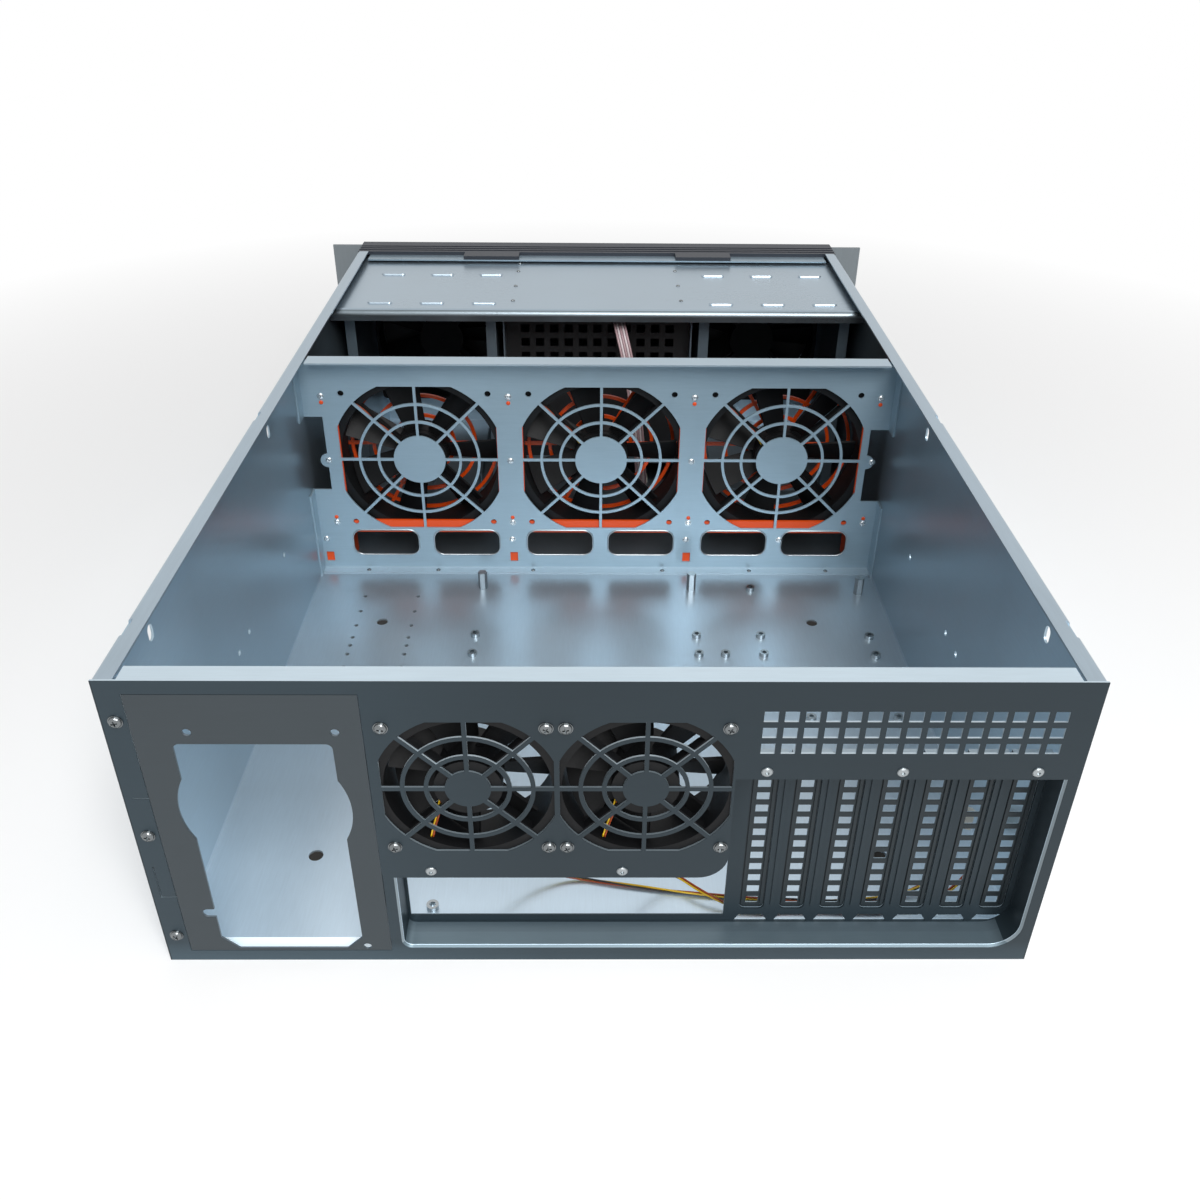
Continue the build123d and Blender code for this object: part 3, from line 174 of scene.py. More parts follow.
# %% Galvanised sheet material
def galvanised_sheet(name, upright, metallic, roughness, streaks, zones=(), ramps=(),
                     lip=None):
    """Zinc-plated sheet with painted light: a tint for its upright part and one for each zone.

    Each zone is a tint, a range of depths and a range of levels, in millimetres.
    streaks gives how fast the streak noise runs along X, Y and Z. Each ramp is an axis and its
    stops of painted sheen and shade, and counts between the side walls only. lip is the tint
    painted on the flanges at the top for the light they reflect.
    """
    material, tree, shader, place = new_material(name)
    parts = add_node(tree, "ShaderNodeSeparateXYZ", links={"Vector": place}).outputs
    layers = [add_node(tree, "ShaderNodeMix", data_type="RGBA",
                       values={"A": colour(upright), "B": colour(tint)},
                       links={"Factor": zone(tree, parts, depths, levels)})
              for tint, depths, levels in zones]
    for ramp in ramps:
        within = add_node(tree, "ShaderNodeMath", operation="COMPARE", links={0: parts["X"]},
                          values={1: 0.0, 2: ramp_half_width})
        layers.append(add_node(tree, "ShaderNodeMix", data_type="RGBA", blend_type="MULTIPLY",
                               values={"A": colour(upright)},
                               links={"Factor": within.outputs[0],
                                      "B": ramp_along(tree, parts, *ramp)}))
    if lip:
        layers.append(add_node(tree, "ShaderNodeMix", data_type="RGBA",
                               values={"A": colour(upright), "B": colour(lip)},
                               links={"Factor": zone(tree, parts, *lip_zone)}))

    stretched = add_node(tree, "ShaderNodeMapping", links={"Vector": place},
                         values={"Scale": streaks})
    fine = add_node(tree, "ShaderNodeTexNoise", links={"Vector": stretched.outputs["Vector"]},
                    values={"Scale": 1.0, "Detail": 4.0, "Roughness": 0.6})
    clouds = add_node(tree, "ShaderNodeTexNoise", links={"Vector": place},
                      values={"Scale": 9.0, "Detail": 5.0, "Roughness": 0.55})
    both = add_node(tree, "ShaderNodeMix", data_type="FLOAT", values={"Factor": 0.4},
                    links={"A": clouds.outputs["Fac"],
                           "B": fine.outputs["Fac"]}).outputs["Result"]
    shade = add_node(tree, "ShaderNodeMapRange", links={"Value": both},
                     values={"From Min": 0.32, "From Max": 0.68, "To Min": 0.88, "To Max": 1.0})
    tinted = add_node(tree, "ShaderNodeVectorMath", operation="SCALE",
                      values={0: colour(upright)[:3]}, links={"Scale": shade.outputs["Result"]})
    # Each layer lies over the one before, and the clouds and streaks shade the last one.
    for below, above in zip(layers, layers[1:]):
        tree.links.new(below.outputs["Result"], above.inputs["A"])
    if layers:
        tree.links.new(layers[-1].outputs["Result"], tinted.inputs[0])
    gloss = add_node(tree, "ShaderNodeMapRange", links={"Value": both},
                     values={"From Min": 0.3, "From Max": 0.7,
                             "To Min": roughness - 0.03, "To Max": roughness + 0.06})
    bump = add_node(tree, "ShaderNodeBump", links={"Height": fine.outputs["Fac"]},
                    values={"Strength": 0.02, "Distance": 0.0001})
    tree.links.new(tinted.outputs["Vector"], shader.inputs["Base Color"])
    tree.links.new(gloss.outputs["Result"], shader.inputs["Roughness"])
    tree.links.new(bump.outputs["Normal"], shader.inputs["Normal"])
    shader.inputs["Metallic"].default_value = metallic
    return material


print("sheet material ready")

# %% The sheets of the case
# Streaks run along one axis: the noise runs slowly there and fast along the other two.
along_x = (60, 900, 900)
along_y = (900, 60, 900)
along_z = (900, 900, 60)

# Depths and levels that several zones share, in millimetres
whole_depth = (-5, 700)
# The sheet's cut edges, within its thickness, where a painted highlight goes
edge_highlight_depths = (0.2, 1.15)
all_levels = (0, 180)
foot = (-1, 3.5)
above_foot = (3.5, 174.5)
ledge = (1.2, 12.5)

# Bare zinc, then the painted pale reflection on flanges that look up and the painted dark
# reflection on upright faces
zinc = "#A6BAC7"
painted_pale_reflection = "#C2D2DC"
painted_dark_reflection = "#27333A"

# The floor's foot gets a painted pale reflection, and the ramp paints a sheen near the rear and
# shade behind the fan wall; the top flanges' tint is painted over the ramp.
inner_sheet = galvanised_sheet(
    "galvanised_sheet", zinc, metallic=0.7, roughness=0.3, streaks=along_y,
    zones=[("#BACAD6", whole_depth, foot)],
    ramps=[("Y", [(0, 1.35), (60, 1.3), (120, 1.0), (280, 0.97), (355, 0.72), (372, 0.55),
                  (380, 0.32), (480, 0.32), (500, 0.5), (600, 0.5), (628, 1.0), (650, 1.0)])],
    lip="#A4B3BE")
# The cover's upright tint is a painted dark reflection, and its top and its rolled rear edge get
# painted pale reflections.
cover_sheet = galvanised_sheet(
    "galvanised_sheet_cover", "#66727A", metallic=0.85, roughness=0.28, streaks=along_x,
    zones=[("#A2B1BC", (489.5, 700), (167, 175)), ("#6F797F", (480, 489.5), (150, 175))])
# The fan wall's foot and top flange get a painted pale reflection.
wall_sheet = galvanised_sheet(
    "galvanised_sheet_wall", "#9BB1BE", metallic=0.5, roughness=0.34, streaks=along_x,
    zones=[("#A9BAC5", whole_depth, foot)], lip="#A9BAC5")
# The rear face's tint is a painted dark reflection. The edges of its cut-outs get a painted
# highlight, its ledge, foot and top flange a painted pale reflection, and its inward faces the
# bare zinc. The ramps paint a sheen that grows towards the bottom and the left end.
rear_sheet = galvanised_sheet(
    "galvanised_sheet_rear", painted_dark_reflection, metallic=0.45, roughness=0.4, streaks=along_x,
    zones=[("#BCC9D1", edge_highlight_depths, (128, 174.5)), ("#7C888F", edge_highlight_depths, (12.5, 128)),
           ("#53626A", (0.2, 9), ledge), ("#4F5D65", (9, 15.2), ledge),
           (painted_pale_reflection, (1.3, 60), foot), (zinc, (1.15, 1.3), above_foot),
           (zinc, (16.9, 60), above_foot)],
    ramps=[("Z", [(0, 1.95), (7, 1.6), (13, 1.05), (176, 1.0)]),
           ("X", [(0, 1.5), (100, 1.4), (190, 1.0), (430, 1.0)])], lip=painted_pale_reflection)
# Its face towards the rear is a painted dark reflection, and its parts deeper in get a painted
# pale reflection.
shelf_sheet = galvanised_sheet(
    "galvanised_sheet_shelf", painted_dark_reflection, metallic=0.45, roughness=0.4, streaks=along_x,
    zones=[(painted_pale_reflection, (0.8, 15.5), (100, 180)), (painted_pale_reflection, (1.2, 15.5), (0, 100))])
# The plate's tint is a painted dark reflection, with a painted highlight on the edges of its
# cut-outs; the zinc zone a little deeper keeps the bare tint.
plate_sheet = galvanised_sheet(
    "galvanised_sheet_plate", "#3E464B", metallic=0.45, roughness=0.4, streaks=along_x,
    zones=[("#6C777F", edge_highlight_depths, (8, 168)), (zinc, (2.3, 3.0), all_levels)])
# The slot covers' upright tint is a painted dark reflection, their top flanges get a painted
# pale reflection, and their parts deeper in keep the bare zinc.
slot_sheet = galvanised_sheet(
    "galvanised_sheet_slots", "#262F34", metallic=0.45, roughness=0.38, streaks=along_z,
    zones=[(zinc, (17.9, 60), all_levels), ("#B4C4CE", (0, 18.2), (123.2, 130))])
print("sheet materials ready")

# %% [markdown]
# ## Fasteners, ears and black metal
# Screws, rivets and posts are nickel or zinc plated and brighter than the sheet. The ears are
# brushed aluminium, and the screen of the middle bays is steel with a black powder coat, whose
# tiny orange-peel bumps, a little over half a millimetre wide, catch the light. A plated skin
# is uneven on a much finer scale than can show, so its unevenness is drawn about as wide.

# %% Metal materials
def plated_metal(name, tint, roughness):
    """Small bright metal parts with a slightly uneven plating."""
    material, tree, shader, place = new_material(name)
    noise = add_node(tree, "ShaderNodeTexNoise", links={"Vector": place},
                     values={"Scale": 1500.0, "Detail": 3.0})
    gloss = add_node(tree, "ShaderNodeMapRange", links={"Value": noise.outputs["Fac"]},
                     values={"To Min": roughness - 0.05, "To Max": roughness + 0.1})
    tree.links.new(gloss.outputs["Result"], shader.inputs["Roughness"])
    shader.inputs["Base Color"].default_value = colour(tint)
    shader.inputs["Metallic"].default_value = 1.0
    return material


screw_metal = plated_metal("nickel_plated_steel", "#7E8284", roughness=0.2)
bright_screw = plated_metal("bright_zinc_screw", "#D4D8DA", roughness=0.24)
post_metal = plated_metal("zinc_plated_post", "#A9AFB2", roughness=0.28)
# The ears are brushed from end to end, which leaves the same streaks as rolling does.
ear_metal = galvanised_sheet("brushed_aluminium_ear", "#81888C", metallic=0.7, roughness=0.38,
                             streaks=along_z)
handle_metal = plated_metal("satin_chrome_handle", "#C6C8CA", roughness=0.28)


def powder_coat(name, tint):
    """Matt black skin with bumps about as fine as those of a baked powder or of cut foam."""
    material, tree, shader, place = new_material(name)
    peel = add_node(tree, "ShaderNodeTexNoise", links={"Vector": place},
                    values={"Scale": 1600.0, "Detail": 2.0})
    bump = add_node(tree, "ShaderNodeBump", links={"Height": peel.outputs["Fac"]},
                    values={"Strength": 0.25, "Distance": 0.0002})
    tree.links.new(bump.outputs["Normal"], shader.inputs["Normal"])
    shader.inputs["Base Color"].default_value = colour(tint)
    shader.inputs["Roughness"].default_value = 0.5
    return material


black_coat = powder_coat("black_powder_coat", "#101012")
foam = powder_coat("black_filter_foam", "#0C0C0E")
print("metal materials ready")

# %% [markdown]
# ## Plastics
# The fans are glass-filled nylon or PBT, moulded matte black. The carriers and their posts are
# orange ABS with a soft sheen. Moulded plastic is not one flat colour: its gloss changes where
# the mould's surface was finer or coarser, so each gets a fine grain in bump and roughness. The
# grain of a mould is about a tenth of a millimetre wide, and is drawn about a millimetre wide
# so that it shows. The tint also drifts a little over some centimetres.

# %% Plastic materials
def moulded_plastic(name, tint, shade, roughness, depth=0.15):
    """Injection-moulded plastic with a fine eroded grain."""
    material, tree, shader, place = new_material(name)
    grain_noise = add_node(tree, "ShaderNodeTexNoise", links={"Vector": place},
                           values={"Scale": 900.0, "Detail": 3.0})
    broad = add_node(tree, "ShaderNodeTexNoise", links={"Vector": place},
                     values={"Scale": 25.0, "Detail": 2.0})
    tone = add_node(tree, "ShaderNodeMix", data_type="RGBA",
                    values={"A": colour(tint), "B": colour(shade)},
                    links={"Factor": broad.outputs["Fac"]})
    gloss = add_node(tree, "ShaderNodeMapRange", links={"Value": grain_noise.outputs["Fac"]},
                     values={"To Min": roughness - 0.07, "To Max": roughness + 0.07})
    bump = add_node(tree, "ShaderNodeBump", links={"Height": grain_noise.outputs["Fac"]},
                    values={"Strength": depth, "Distance": 0.0002})
    tree.links.new(tone.outputs["Result"], shader.inputs["Base Color"])
    tree.links.new(gloss.outputs["Result"], shader.inputs["Roughness"])
    tree.links.new(bump.outputs["Normal"], shader.inputs["Normal"])
    return material


fan_plastic = moulded_plastic("black_pbt_fan", "#07080A", "#0B0C0E", roughness=0.55)
# The grain of a fan's mould is so coarse that its mirror light is only half of a smooth one's.
fan_plastic.node_tree.nodes["Principled BSDF"].inputs["Specular IOR Level"].default_value = 0.25
orange_plastic = moulded_plastic("orange_abs", "#E04C09", "#D44606", roughness=0.38)
bezel_plastic = moulded_plastic("charcoal_abs_bezel", "#20252F", "#1A1E27", roughness=0.5,
                                depth=0.3)
button_plastic = moulded_plastic("grey_abs_button", "#55585C", "#4C4F53", roughness=0.35)
plug_plastic = moulded_plastic("white_nylon_plug", "#E9E7DC", "#DEDBCF", roughness=0.4)
print("plastic materials ready")

# %% [markdown]
# ## Give every frame node its finish
# A node of the frame keeps its shape, and only its material slots change. The table says which
# finish belongs to the names that start with each entry; a node that matches none keeps its own
# material.

# %% Assign the finishes
finishes = {
    inner_sheet: ("chassis_body", "drive_cage", "bay_cage", "front_panel"),
    cover_sheet: ("bay_cover",),
    wall_sheet: ("fan_wall",),
    rear_sheet: ("rear_panel",),
    shelf_sheet: ("io_rail", "card_shelf"),
    plate_sheet: ("psu_plate",),
    slot_sheet: ("slot_cover",),
    post_metal: ("board_posts", "pan_screws", "rear_rivets", "fan_wall_screws"),
    ear_metal: ("rack_ear",),
    handle_metal: ("handle", "door_lock"),
    black_coat: ("bay_screen",),
    foam: ("front_filters",),
    fan_plastic: ("fan_frame", "fan_rotor", "rear_fan_frame", "rear_fan_rotor",
                  "front_fan_frame", "front_fan_rotor"),
    orange_plastic: ("fan_guide", "fan_carrier"),
    bezel_plastic: ("front_bezel", "front_door"),
    button_plastic: ("power_button", "reset_button"),
    plug_plastic: ("rear_fan_plug", "drive_lead_plug"),
}
finish_of = {start: material for material, starts in finishes.items() for start in starts}
for name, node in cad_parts.items():
    start = max((start for start in finish_of if name.startswith(start)), key=len, default=None)
    if start:
        node.data.materials.clear()
        node.data.materials.append(finish_of[start])
print("finished nodes", len(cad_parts))

# %% [markdown]
# ## Where the fasteners sit
# The frame holds each screw and rivet as a plain round head, and many heads share one node. A
# head is one island of that node's mesh: a group of corners that edges join. Its box gives the
# place of its seat, and its thinnest side gives the way it faces, to the rear or up.

# %% Find the seats
to_rear = (0, -1, 0)
upwards = (0, 0, 1)
same_corner = 0.01 * MM


def islands(name):
    """Lowest and highest corner of every separate solid in a frame node."""
    copy = bmesh.new()
    copy.from_mesh(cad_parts[name].data)
    bmesh.ops.remove_doubles(copy, verts=copy.verts, dist=same_corner)
    left = set(copy.verts)
    found = []
    while left:
        stack = [left.pop()]
        corners = []
        while stack:
            vertex = stack.pop()
            corners.append(vertex.co.copy())
            joined = {edge.other_vert(vertex) for edge in vertex.link_edges} & left
            left -= joined
            stack += joined
        low = Vector([min(corner[axis] for corner in corners) for axis in range(3)])
        high = Vector([max(corner[axis] for corner in corners) for axis in range(3)])
        found.append((low, high))
    copy.free()
    return sorted(found, key=lambda pair: tuple(pair[0]))


def seats(name):
    """Middle of the seat and the facing of every head in a frame node."""
    found = []
    for low, high in islands(name):
        middle = (low + high) / 2
        size = high - low
        if size.z < size.y:
            found.append((Vector((middle.x, middle.y, low.z)), upwards))
        else:
            found.append((Vector((middle.x, high.y, middle.z)), to_rear))
    return found


screw_seats = seats("pan_screws")
rivet_seats = seats("rear_rivets")
wall_seats = seats("fan_wall_screws")
print("seats", len(screw_seats), len(rivet_seats), len(wall_seats))

# %% [markdown]
# ## A head as a node tree
# One geometry node tree makes every kind of head. It builds a washer and a domed head, cuts a
# cross or a round bore into the dome, and puts a copy on each seat, turned so that it faces the
# right way and by a random angle about its own axis, as a fitter leaves it.

# %% Build the head tree
def new_tree(name, floats):
    """Node tree with a geometry, named lengths and a material as its inputs."""
    tree = bpy.data.node_groups.new(name, "GeometryNodeTree")
    panel = tree.interface
    panel.new_socket("Geometry", in_out="INPUT", socket_type="NodeSocketGeometry")
    for label in floats:
        panel.new_socket(label, in_out="INPUT", socket_type="NodeSocketFloat")
    panel.new_socket("Material", in_out="INPUT", socket_type="NodeSocketMaterial")
    panel.new_socket("Geometry", in_out="OUTPUT", socket_type="NodeSocketGeometry")
    return tree, add_node(tree, "NodeGroupInput").outputs


def place_on_seats(tree, given, piece, turning):
    """Copies of a piece on the seats, as plain mesh with the material that was given."""
    facing = add_node(tree, "GeometryNodeInputNamedAttribute", data_type="FLOAT_VECTOR",
                      values={"Name": "facing"})
    upright = add_node(tree, "FunctionNodeAlignRotationToVector", axis="Z",
                       links={"Vector": facing.outputs["Attribute"]})
    copies = add_node(tree, "GeometryNodeInstanceOnPoints",
                      links={"Points": given["Geometry"], "Instance": piece,
                             "Rotation": upright.outputs["Rotation"]}).outputs["Instances"]
    if turning:
        angle = add_node(tree, "FunctionNodeRandomValue", data_type="FLOAT",
                         values={"Max": math.pi, "Seed": 7})
        about = add_node(tree, "ShaderNodeCombineXYZ", links={"Z": angle.outputs[1]})
        turn = add_node(tree, "FunctionNodeEulerToRotation",
                        links={"Euler": about.outputs["Vector"]})
        copies = add_node(tree, "GeometryNodeRotateInstances",
                          links={"Instances": copies, "Rotation": turn.outputs["Rotation"]})
        copies = copies.outputs["Instances"]
    solid = add_node(tree, "GeometryNodeRealizeInstances", links={"Geometry": copies})
    clothed = add_node(tree, "GeometryNodeSetMaterial",
                       links={"Geometry": solid.outputs["Geometry"],
                              "Material": given["Material"]})
    add_node(tree, "NodeGroupOutput", links={"Geometry": clothed.outputs["Geometry"]})


dome_power = 2.5
dome_narrowing = 0.4


def head_tree(name, recess):
    """Washer and domed head, with a recess that is 'cross' or 'bore'.

    The head narrows by dome_narrowing of its radius at the top, and the higher dome_power is,
    the later the dome begins.
    """
    tree, given = new_tree(name, ("Head Radius", "Head Height", "Washer Radius", "Washer Height",
                                  "Recess Width", "Recess Depth"))
    lift = add_node(tree, "ShaderNodeMath", operation="MULTIPLY", values={1: 0.5},
                    links={0: given["Washer Height"]}).outputs[0]
    raised = add_node(tree, "ShaderNodeCombineXYZ", links={"Z": lift})
    washer = add_node(tree, "GeometryNodeMeshCylinder", values={"Vertices": 24},
                      links={"Radius": given["Washer Radius"], "Depth": given["Washer Height"]})
    washer = add_node(tree, "GeometryNodeTransform",
                      links={"Geometry": washer.outputs["Mesh"],
                             "Translation": raised.outputs["Vector"]})

    blank = add_node(tree, "GeometryNodeMeshCylinder",
                     values={"Vertices": 20, "Side Segments": 4},
                     links={"Radius": given["Head Radius"], "Depth": given["Head Height"]})
    half = add_node(tree, "ShaderNodeMath", operation="MULTIPLY", values={1: 0.5},
                    links={0: given["Head Height"]}).outputs[0]
    low = add_node(tree, "ShaderNodeMath", operation="MULTIPLY", values={1: -1.0},
                   links={0: half}).outputs[0]
    place = add_node(tree, "GeometryNodeInputPosition").outputs["Position"]
    level = add_node(tree, "ShaderNodeSeparateXYZ", links={"Vector": place}).outputs["Z"]
    share = add_node(tree, "ShaderNodeMapRange",
                     links={"Value": level, "From Min": low, "From Max": half})
    steep = add_node(tree, "ShaderNodeMath", operation="POWER", values={1: dome_power},
                     links={0: share.outputs["Result"]}).outputs[0]
    narrow = add_node(tree, "ShaderNodeMath", operation="MULTIPLY_ADD",
                      values={1: -dome_narrowing, 2: 1.0}, links={0: steep}).outputs[0]
    factors = add_node(tree, "ShaderNodeCombineXYZ", values={"Z": 1.0},
                       links={"X": narrow, "Y": narrow})
    domed = add_node(tree, "ShaderNodeVectorMath", operation="MULTIPLY",
                     links={0: place, 1: factors.outputs["Vector"]})
    seat = add_node(tree, "ShaderNodeMath", operation="ADD",
                    links={0: half, 1: given["Washer Height"]}).outputs[0]
    shift = add_node(tree, "ShaderNodeCombineXYZ", links={"Z": seat})
    head = add_node(tree, "GeometryNodeSetPosition",
                    links={"Geometry": blank.outputs["Mesh"],
                           "Position": domed.outputs["Vector"],
                           "Offset": shift.outputs["Vector"]})

    top = add_node(tree, "ShaderNodeMath", operation="ADD",
                   links={0: given["Washer Height"], 1: given["Head Height"]}).outputs[0]
    crown = add_node(tree, "ShaderNodeCombineXYZ", links={"Z": top})
    deep = add_node(tree, "ShaderNodeMath", operation="MULTIPLY", values={1: 2.0},
                    links={0: given["Recess Depth"]}).outputs[0]
    width = given["Recess Width"]
    if recess == "cross":
        sizes = [{"X": given["Head Radius"], "Y": width, "Z": deep},
                 {"X": width, "Y": given["Head Radius"], "Z": deep}]
        cutters = []
        for size in sizes:
            extent = add_node(tree, "ShaderNodeCombineXYZ", links=size)
            cutters.append(add_node(tree, "GeometryNodeMeshCube",
                                    links={"Size": extent.outputs["Vector"]}))
    else:
        cutters = [add_node(tree, "GeometryNodeMeshCylinder", values={"Vertices": 12},
                            links={"Radius": width, "Depth": deep})]
    uncut = head.outputs["Geometry"]
    for cutter in cutters:
        placed = add_node(tree, "GeometryNodeTransform",
                          links={"Geometry": cutter.outputs["Mesh"],
                                 "Translation": crown.outputs["Vector"]})
        cut = add_node(tree, "GeometryNodeMeshBoolean", operation="DIFFERENCE", solver="EXACT",
                       links={0: uncut, 1: placed.outputs["Geometry"]})
        uncut = cut.outputs["Mesh"]
    whole = add_node(tree, "GeometryNodeJoinGeometry", links={0: washer.outputs["Geometry"]})
    tree.links.new(uncut, whole.inputs[0])
    place_on_seats(tree, given, whole.outputs["Geometry"], turning=True)
    return tree


screw_tree = head_tree("cross_head", "cross")
rivet_tree = head_tree("rivet_head", "bore")
print("trees", [len(t.nodes) for t in (screw_tree, rivet_tree)])

# %% [markdown]
# ## Run a tree on its seats
# The seats become the points of a small mesh. A modifier runs the tree on them with the lengths
# that are given by name, and the result is kept as an ordinary mesh.

# %% Make the fasteners
def grow(name, places, tree, values):
    """Plain mesh that a node tree makes on places, each a point and the way it faces."""
    points = bpy.data.meshes.new(name + "_points")
    points.from_pydata([place for place, _ in places], [], [])
    facing = points.attributes.new("facing", "FLOAT_VECTOR", "POINT")
    facing.data.foreach_set("vector", [part for _, way in places for part in way])
    piece = bpy.data.objects.new(name, points)
    bpy.context.scene.collection.objects.link(piece)
    modifier = piece.modifiers.new("grow", "NODES")
    modifier.node_group = tree
    for socket in tree.interface.items_tree:
        if socket.name in values:
            modifier[socket.identifier] = values[socket.name]
    evaluated = piece.evaluated_get(bpy.context.evaluated_depsgraph_get())
    finished = bpy.data.meshes.new_from_object(evaluated)
    finished.name = name
    piece.modifiers.clear()
    piece.data = finished
    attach(piece, "case")
    print(name, len(finished.polygons), "faces")
    return piece


rear_screws = grow("cross_pan_screws", screw_seats, screw_tree, {
    "Head Radius": 2.9 * MM, "Head Height": 1.5 * MM, "Washer Radius": 3.3 * MM,
    "Washer Height": 0.5 * MM, "Recess Width": 0.75 * MM, "Recess Depth": 0.9 * MM,
    "Material": screw_metal})
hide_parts("pan_screws")
rear_rivets = grow("pop_rivets", rivet_seats, rivet_tree, {
    "Head Radius": 2.5 * MM, "Head Height": 0.9 * MM, "Washer Radius": 2.6 * MM,
    "Washer Height": 0.3 * MM, "Recess Width": 0.9 * MM, "Recess Depth": 0.8 * MM,
    "Material": post_metal})
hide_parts("rear_rivets")
wall_screws = grow("wall_cross_screws", wall_seats, screw_tree, {
    "Head Radius": 2.1 * MM, "Head Height": 0.8 * MM, "Washer Radius": 2.5 * MM,
    "Washer Height": 0.3 * MM, "Recess Width": 0.5 * MM, "Recess Depth": 0.5 * MM,
    "Material": bright_screw})
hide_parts("fan_wall_screws")

# %% [markdown]
# ## Pins, rivets and rims
# The orange posts are held by pins that show through the fan wall above and below each pair of
# screws. Small rivets hold the wall's foot to the floor and the cages to the cover plate, and
# each cable slot has a rolled rim that keeps the leads from chafing. A rim is a rounded
# rectangle that a small circle is swept along.

# %% Add pins, rivets and rims
def rim_tree():
    """Rolled rim: a bead along a rounded rectangle."""
    tree, given = new_tree("slot_rim", ("Width", "Height", "Corner Radius", "Bead Radius"))
    outline = add_node(tree, "GeometryNodeCurvePrimitiveQuadrilateral",
                       links={"Width": given["Width"], "Height": given["Height"]})
    rounded = add_node(tree, "GeometryNodeFilletCurve", mode="POLY", values={"Count": 5},
                       links={"Curve": outline.outputs["Curve"],
                              "Radius": given["Corner Radius"]})
    bead = add_node(tree, "GeometryNodeCurvePrimitiveCircle", values={"Resolution": 8},
                    links={"Radius": given["Bead Radius"]})
    swept = add_node(tree, "GeometryNodeCurveToMesh",
                     links={"Curve": rounded.outputs["Curve"],
                            "Profile Curve": bead.outputs["Curve"]})
    place_on_seats(tree, given, swept.outputs["Mesh"], turning=False)
    return tree


def at(x, depth, level):
    """A place given in millimetres: across, in from the rear face, and up."""
    return Vector((x * MM, REAR + depth * MM, level * MM))


# The wall's rear face, and what sits on it: across and up, in millimetres
wall_face = 370
module_x = (-131.8, 2.4, 136.6)
lowest_upper_screw = 120
post_x = sorted({round(place.x / MM, 1) for place, _ in wall_seats
                 if place.z > lowest_upper_screw * MM})
pin_levels = (141.5, 47.4)
slot_aside = 31.2
slot_level = 25.1
# The rivets of the wall's foot, and those of the cover with their depths by side
foot_depth = 366
foot_level = 2.4
foot_x = (-178, -124, -50, 51, 119, 179)
cover_level = 170
cover_depths = {-69: (613.6, 590.4, 549.5, 511.5), 68: (593, 552, 513)}

pin_places = [(at(x, wall_face, level), to_rear) for x in post_x for level in pin_levels]
foot_places = [(at(x, foot_depth, foot_level), upwards) for x in foot_x]
cover_places = [(at(x, depth, cover_level), upwards)
                for x, depths in cover_depths.items() for depth in depths]
rim_places = [(at(x + side * slot_aside, wall_face, slot_level), to_rear)
              for x in module_x for side in (-1, 1)]
grow("post_pins", pin_places, rivet_tree, {
    "Head Radius": 1.5 * MM, "Head Height": 0.7 * MM, "Washer Radius": 1.5 * MM,
    "Washer Height": 0.2 * MM, "Recess Width": 0.4 * MM, "Recess Depth": 0.3 * MM,
    "Material": orange_plastic})
grow("small_rivets", foot_places + cover_places, rivet_tree, {
    "Head Radius": 1.6 * MM, "Head Height": 0.6 * MM, "Washer Radius": 1.7 * MM,
    "Washer Height": 0.2 * MM, "Recess Width": 0.5 * MM, "Recess Depth": 0.4 * MM,
    "Material": screw_metal})
grow("cable_slot_rims", rim_places, rim_tree(), {
    "Width": 50.6 * MM, "Height": 22 * MM, "Corner Radius": 7.3 * MM, "Bead Radius": 0.6 * MM,
    "Material": post_metal})

# %% [markdown]
# ## Fan leads
# A fan's lead is three thin wires, yellow, brown and black, that lie loosely round each other.
# The route is one smooth NURBS curve through the case: out of the fan's frame, down to the
# floor, along it and up to the connector. Each wire then follows that curve at a small
# distance from it and slowly turns round it, which gives a loose twist.

# %% Routes of the leads
left_lead_points = (
    (-79.7, 22, 75.1), (-79.7, 22, 62), (-70, 32, 42), (-50, 46, 18), (-20, 53, 2.4),
    (14, 46.5, 2.4), (48, 40.5, 2.4), (86, 37, 2.4), (126, 34.8, 2.4), (166, 39, 2.6),
    (190, 52, 14), (194.5, 60, 32),
)
right_lead_points = (
    (0.3, 22, 75.1), (0.3, 22, 62), (8, 33, 42), (22, 47, 20), (40, 50, 7.4),
    (56, 36, 7.4), (78, 27.5, 2.4), (112, 29, 2.4), (148, 27, 2.4), (180, 34, 3.2),
    (202, 48, 16), (206, 57, 34),
)
ribbon_points = (
    (17, 517, 157), (17, 502, 157), (20, 489, 148), (24, 482, 133), (28, 479, 111),
    (32, 480, 86), (35, 478, 61), (37, 475, 38), (38, 478, 18), (38.6, 488, 6.8),
    (39, 503, 3.3), (39.3, 515, 3.1),
)


def smooth_route(points):
    """Points of the NURBS curve whose control points are given in millimetres."""
    data = bpy.data.curves.new("route", "CURVE")
    data.dimensions = "3D"
    spline = data.splines.new("NURBS")
    spline.points.add(len(points) - 1)
    for point, (x, depth, level) in zip(spline.points, points):
        point.co = (*at(x, depth, level), 1)
    spline.order_u = 3
    spline.use_endpoint_u = True
    data.resolution_u = 8
    holder = bpy.data.objects.new("route", data)
    bpy.context.scene.collection.objects.link(holder)
    bpy.context.view_layer.update()
    mesh = bpy.data.meshes.new_from_object(holder.evaluated_get(
        bpy.context.evaluated_depsgraph_get()))
    path = [vertex.co.copy() for vertex in mesh.vertices]
    bpy.data.objects.remove(holder)
    return path


def route_length(path):
    """Length of a path, in metres."""
    return sum((after - before).length for before, after in zip(path, path[1:]))


left_path = smooth_route(left_lead_points)
right_path = smooth_route(right_lead_points)
ribbon_path = smooth_route(ribbon_points)
print("lead lengths", [round(route_length(p), 4) for p in (left_path, right_path, ribbon_path)])

